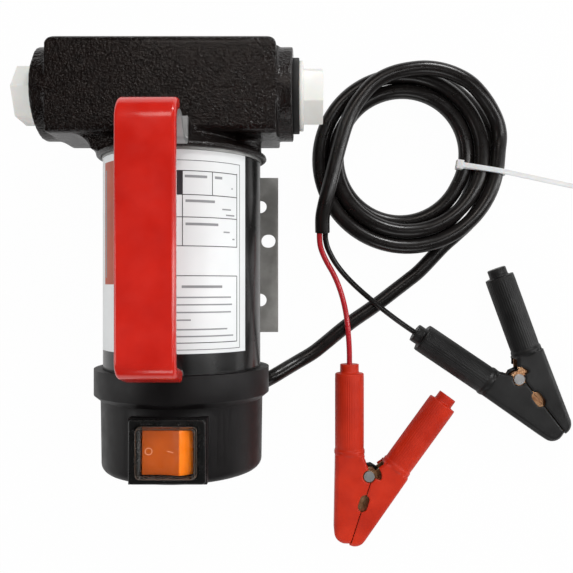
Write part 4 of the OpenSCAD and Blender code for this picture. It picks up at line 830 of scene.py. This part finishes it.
soften("bracket_plate", "mounting_bracket", "pump_body", 0.3)
bypass_nut = soften("bypass_nut", "bypass_cap", "pump_body", 0.3)
for corner in bypass_nut.data.vertices:
    if corner.co.y > NUT_FOOT_Y:
        corner.co.y -= NUT_DROP
relief = link(bpy.data.objects.new("relief_spring", frame["nodes"]["bypass_spring"].data.copy()))
relief.data.materials.clear()
relief.data.materials.append(FINISH[SLOTS["bypass_spring"]])
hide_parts("bypass_spring")
shade_by_angle(relief, 70)
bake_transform(relief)
for side in ("inlet", "outlet"):
    soften(side + "_stopper", side + "_plug", "pump_body", 0.5)
    soften(side + "_ring", side + "_seal", "pump_body", 0.4)
soften("gland_sleeve", "cable_gland", "pump_body", 0.5)
tie = soften("nylon_tie", "cable_tie", "pump_body", 0.2)


# Clamps

CLAMPS = {"red": (89.5, -114.2, -18), "black": (166, -64.7, 38)}  # (x, y, turn in degrees)
CLAMP_Z = 7.6
ARM_X = 9.75
SLEEVE_R = 7.4
SLEEVE_Y = (13.4, 51.4)
HALF_ANGLE = 18
RIBS = 40
RIB_ROWS = 14
RIB_FOOT, RIB_TOP = 0.065, 0.03  # half the angle it takes up, in radians
RIB_SUNK = -0.1
RIB_HEIGHT, RIB_END_HEIGHT = 0.07, 0.02


def in_clamp(colour, arm, p):
    """A point of an arm, drawn with its sleeve along +Y at x = -ARM_X, in the shared frame."""
    x, y, z = p
    a = math.radians(HALF_ANGLE)
    x, y = x * math.cos(a) - y * math.sin(a), x * math.sin(a) + y * math.cos(a)
    if arm == "hinged":
        x = -x
    cx, cy, turn = CLAMPS[colour]
    t = math.radians(turn)
    return (cx + x * math.cos(t) - y * math.sin(t), cy + x * math.sin(t) + y * math.cos(t),
            CLAMP_Z + z)


def sleeve_ribs(colour, arm):
    """Fine ribs along the sleeve, lower at both ends."""
    parts = []
    for i in range(RIBS):
        a = 2 * math.pi * i / RIBS
        points, faces = [], []
        for k in range(RIB_ROWS + 1):
            y = SLEEVE_Y[0] + (SLEEVE_Y[1] - SLEEVE_Y[0]) * k / RIB_ROWS
            lift = RIB_END_HEIGHT if k in (0, RIB_ROWS) else RIB_HEIGHT
            for off, out in ((-RIB_FOOT, RIB_SUNK), (-RIB_TOP, lift), (RIB_TOP, lift),
                             (RIB_FOOT, RIB_SUNK)):
                r = SLEEVE_R + out
                points.append(in_clamp(colour, arm, (-ARM_X + r * math.sin(a + off), y,
                                                     r * math.cos(a + off))))
        for k in range(RIB_ROWS):
            faces += [(k * 4 + j, k * 4 + j + 1, (k + 1) * 4 + j + 1, (k + 1) * 4 + j)
                      for j in range(3)]
        parts.append((points, faces))
    return joined(parts)


for colour in CLAMPS:
    for arm, body in (("wired", "pump_body"), ("hinged", f"{colour}_hinged_arm")):
        cast(f"{colour}_{arm}_cover", f"{colour}_{arm}_grip", body, 0.5, 1)
        mesh = new_mesh("ribs", *sleeve_ribs(colour, arm))
        add_object(f"{colour}_{arm}_ribs", mesh, f"clamp_{colour}", body)


# Studio, in metres

WHITE = (1, 1, 1, 1)
DIM_SKY = 0.57
FLOOR_GREY = (0.7, 0.7, 0.7, 1)
FLOOR_HALF = 4
FLOOR_Z = -0.0008
FLOOR_GLOW = (("Is Camera Ray", 0.98), ("Is Transmission Ray", 0.98), ("Is Glossy Ray", 0.25))


def flat_light(name, place, aim, size, power, colour=(1, 1, 1)):
    data = bpy.data.lights.new(name, "AREA")
    data.shape = "RECTANGLE"
    data.size, data.size_y = size
    data.energy = power
    data.color = colour
    obj = link(bpy.data.objects.new(name, data))
    obj.location = place
    obj.rotation_mode = "QUATERNION"
    obj.rotation_quaternion = (Vector(aim) - Vector(place)).to_track_quat("-Z", "Y")


flat_light("key", (0.35, 0.75, 0.5), (0.03, 0, 0.05), (0.2, 0.14), 2.8)
flat_light("fill", (-0.8, -0.1, 0.42), (0, 0, 0.05), (0.3, 0.6), 1.2)
flat_light("side", (0.85, 0.0, 0.36), (0, 0, 0.05), (0.1, 0.8), 1.5)
flat_light("front", (0.1, -0.85, 0.5), (0.03, 0, 0.05), (0.6, 0.25), 1.2)
flat_light("back", (-0.06, 0.44, 0.76), (0, 0.05, 0.06), (0.26, 0.2), 0.6, (1, 0.92, 0.86))
flat_light("top", (0.5, -0.03, 0.72), (0.04, 0, 0.06), (0.1, 0.6), 0.9)

# The world is white where the camera sees it, also through the cover. It lights the object less
# strongly, and mirror rays don't see it, so that black paint stays black.
world = bpy.data.worlds.new("studio")
bpy.context.scene.world = world
world.use_nodes = True
nodes, links = world.node_tree.nodes, world.node_tree.links
sky = nodes["Background"]
sky.inputs["Color"].default_value = WHITE
ray = nodes.new("ShaderNodeLightPath")
seen = nodes.new("ShaderNodeMath")
seen.operation = "MAXIMUM"
links.new(ray.outputs["Is Camera Ray"], seen.inputs[0])
links.new(ray.outputs["Is Transmission Ray"], seen.inputs[1])
level = add_node(nodes, "MapRange", {"To Min": DIM_SKY, "To Max": 1})
links.new(seen.outputs["Value"], level.inputs["Value"])
links.new(level.outputs["Result"], sky.inputs["Strength"])
world.cycles_visibility.glossy = False

# The floor is a grey sheet, mixed with white light by the kind of ray that meets it.
mat, nodes, links, shader = tree_of("floor")
shader.inputs["Base Color"].default_value = FLOOR_GREY
shader.inputs["Roughness"].default_value = 0.8
glow = add_node(nodes, "Emission", {"Color": WHITE, "Strength": 1})
path = nodes.new("ShaderNodeLightPath")
blend = nodes.new("ShaderNodeMixShader")
share = None
for kind, part in FLOOR_GLOW:
    step = nodes.new("ShaderNodeMath")
    step.operation = "MULTIPLY_ADD"
    step.inputs[1].default_value = part
    step.inputs[2].default_value = 0
    links.new(path.outputs[kind], step.inputs[0])
    if share:
        links.new(share.outputs["Value"], step.inputs[2])
    share = step
share.use_clamp = True
links.new(share.outputs["Value"], blend.inputs["Fac"])
links.new(shader.outputs["BSDF"], blend.inputs[1])
links.new(glow.outputs["Emission"], blend.inputs[2])
links.new(blend.outputs["Shader"], nodes["Material Output"].inputs["Surface"])
floor_mesh = bpy.data.meshes.new("floor")
floor_corners = [(x * FLOOR_HALF, y * FLOOR_HALF, FLOOR_Z)
                 for x, y in ((-1, -1), (1, -1), (1, 1), (-1, 1))]
floor_mesh.from_pydata(floor_corners, [], [(0, 1, 2, 3)])
floor_mesh.materials.append(mat)
floor = link(bpy.data.objects.new("floor", floor_mesh))
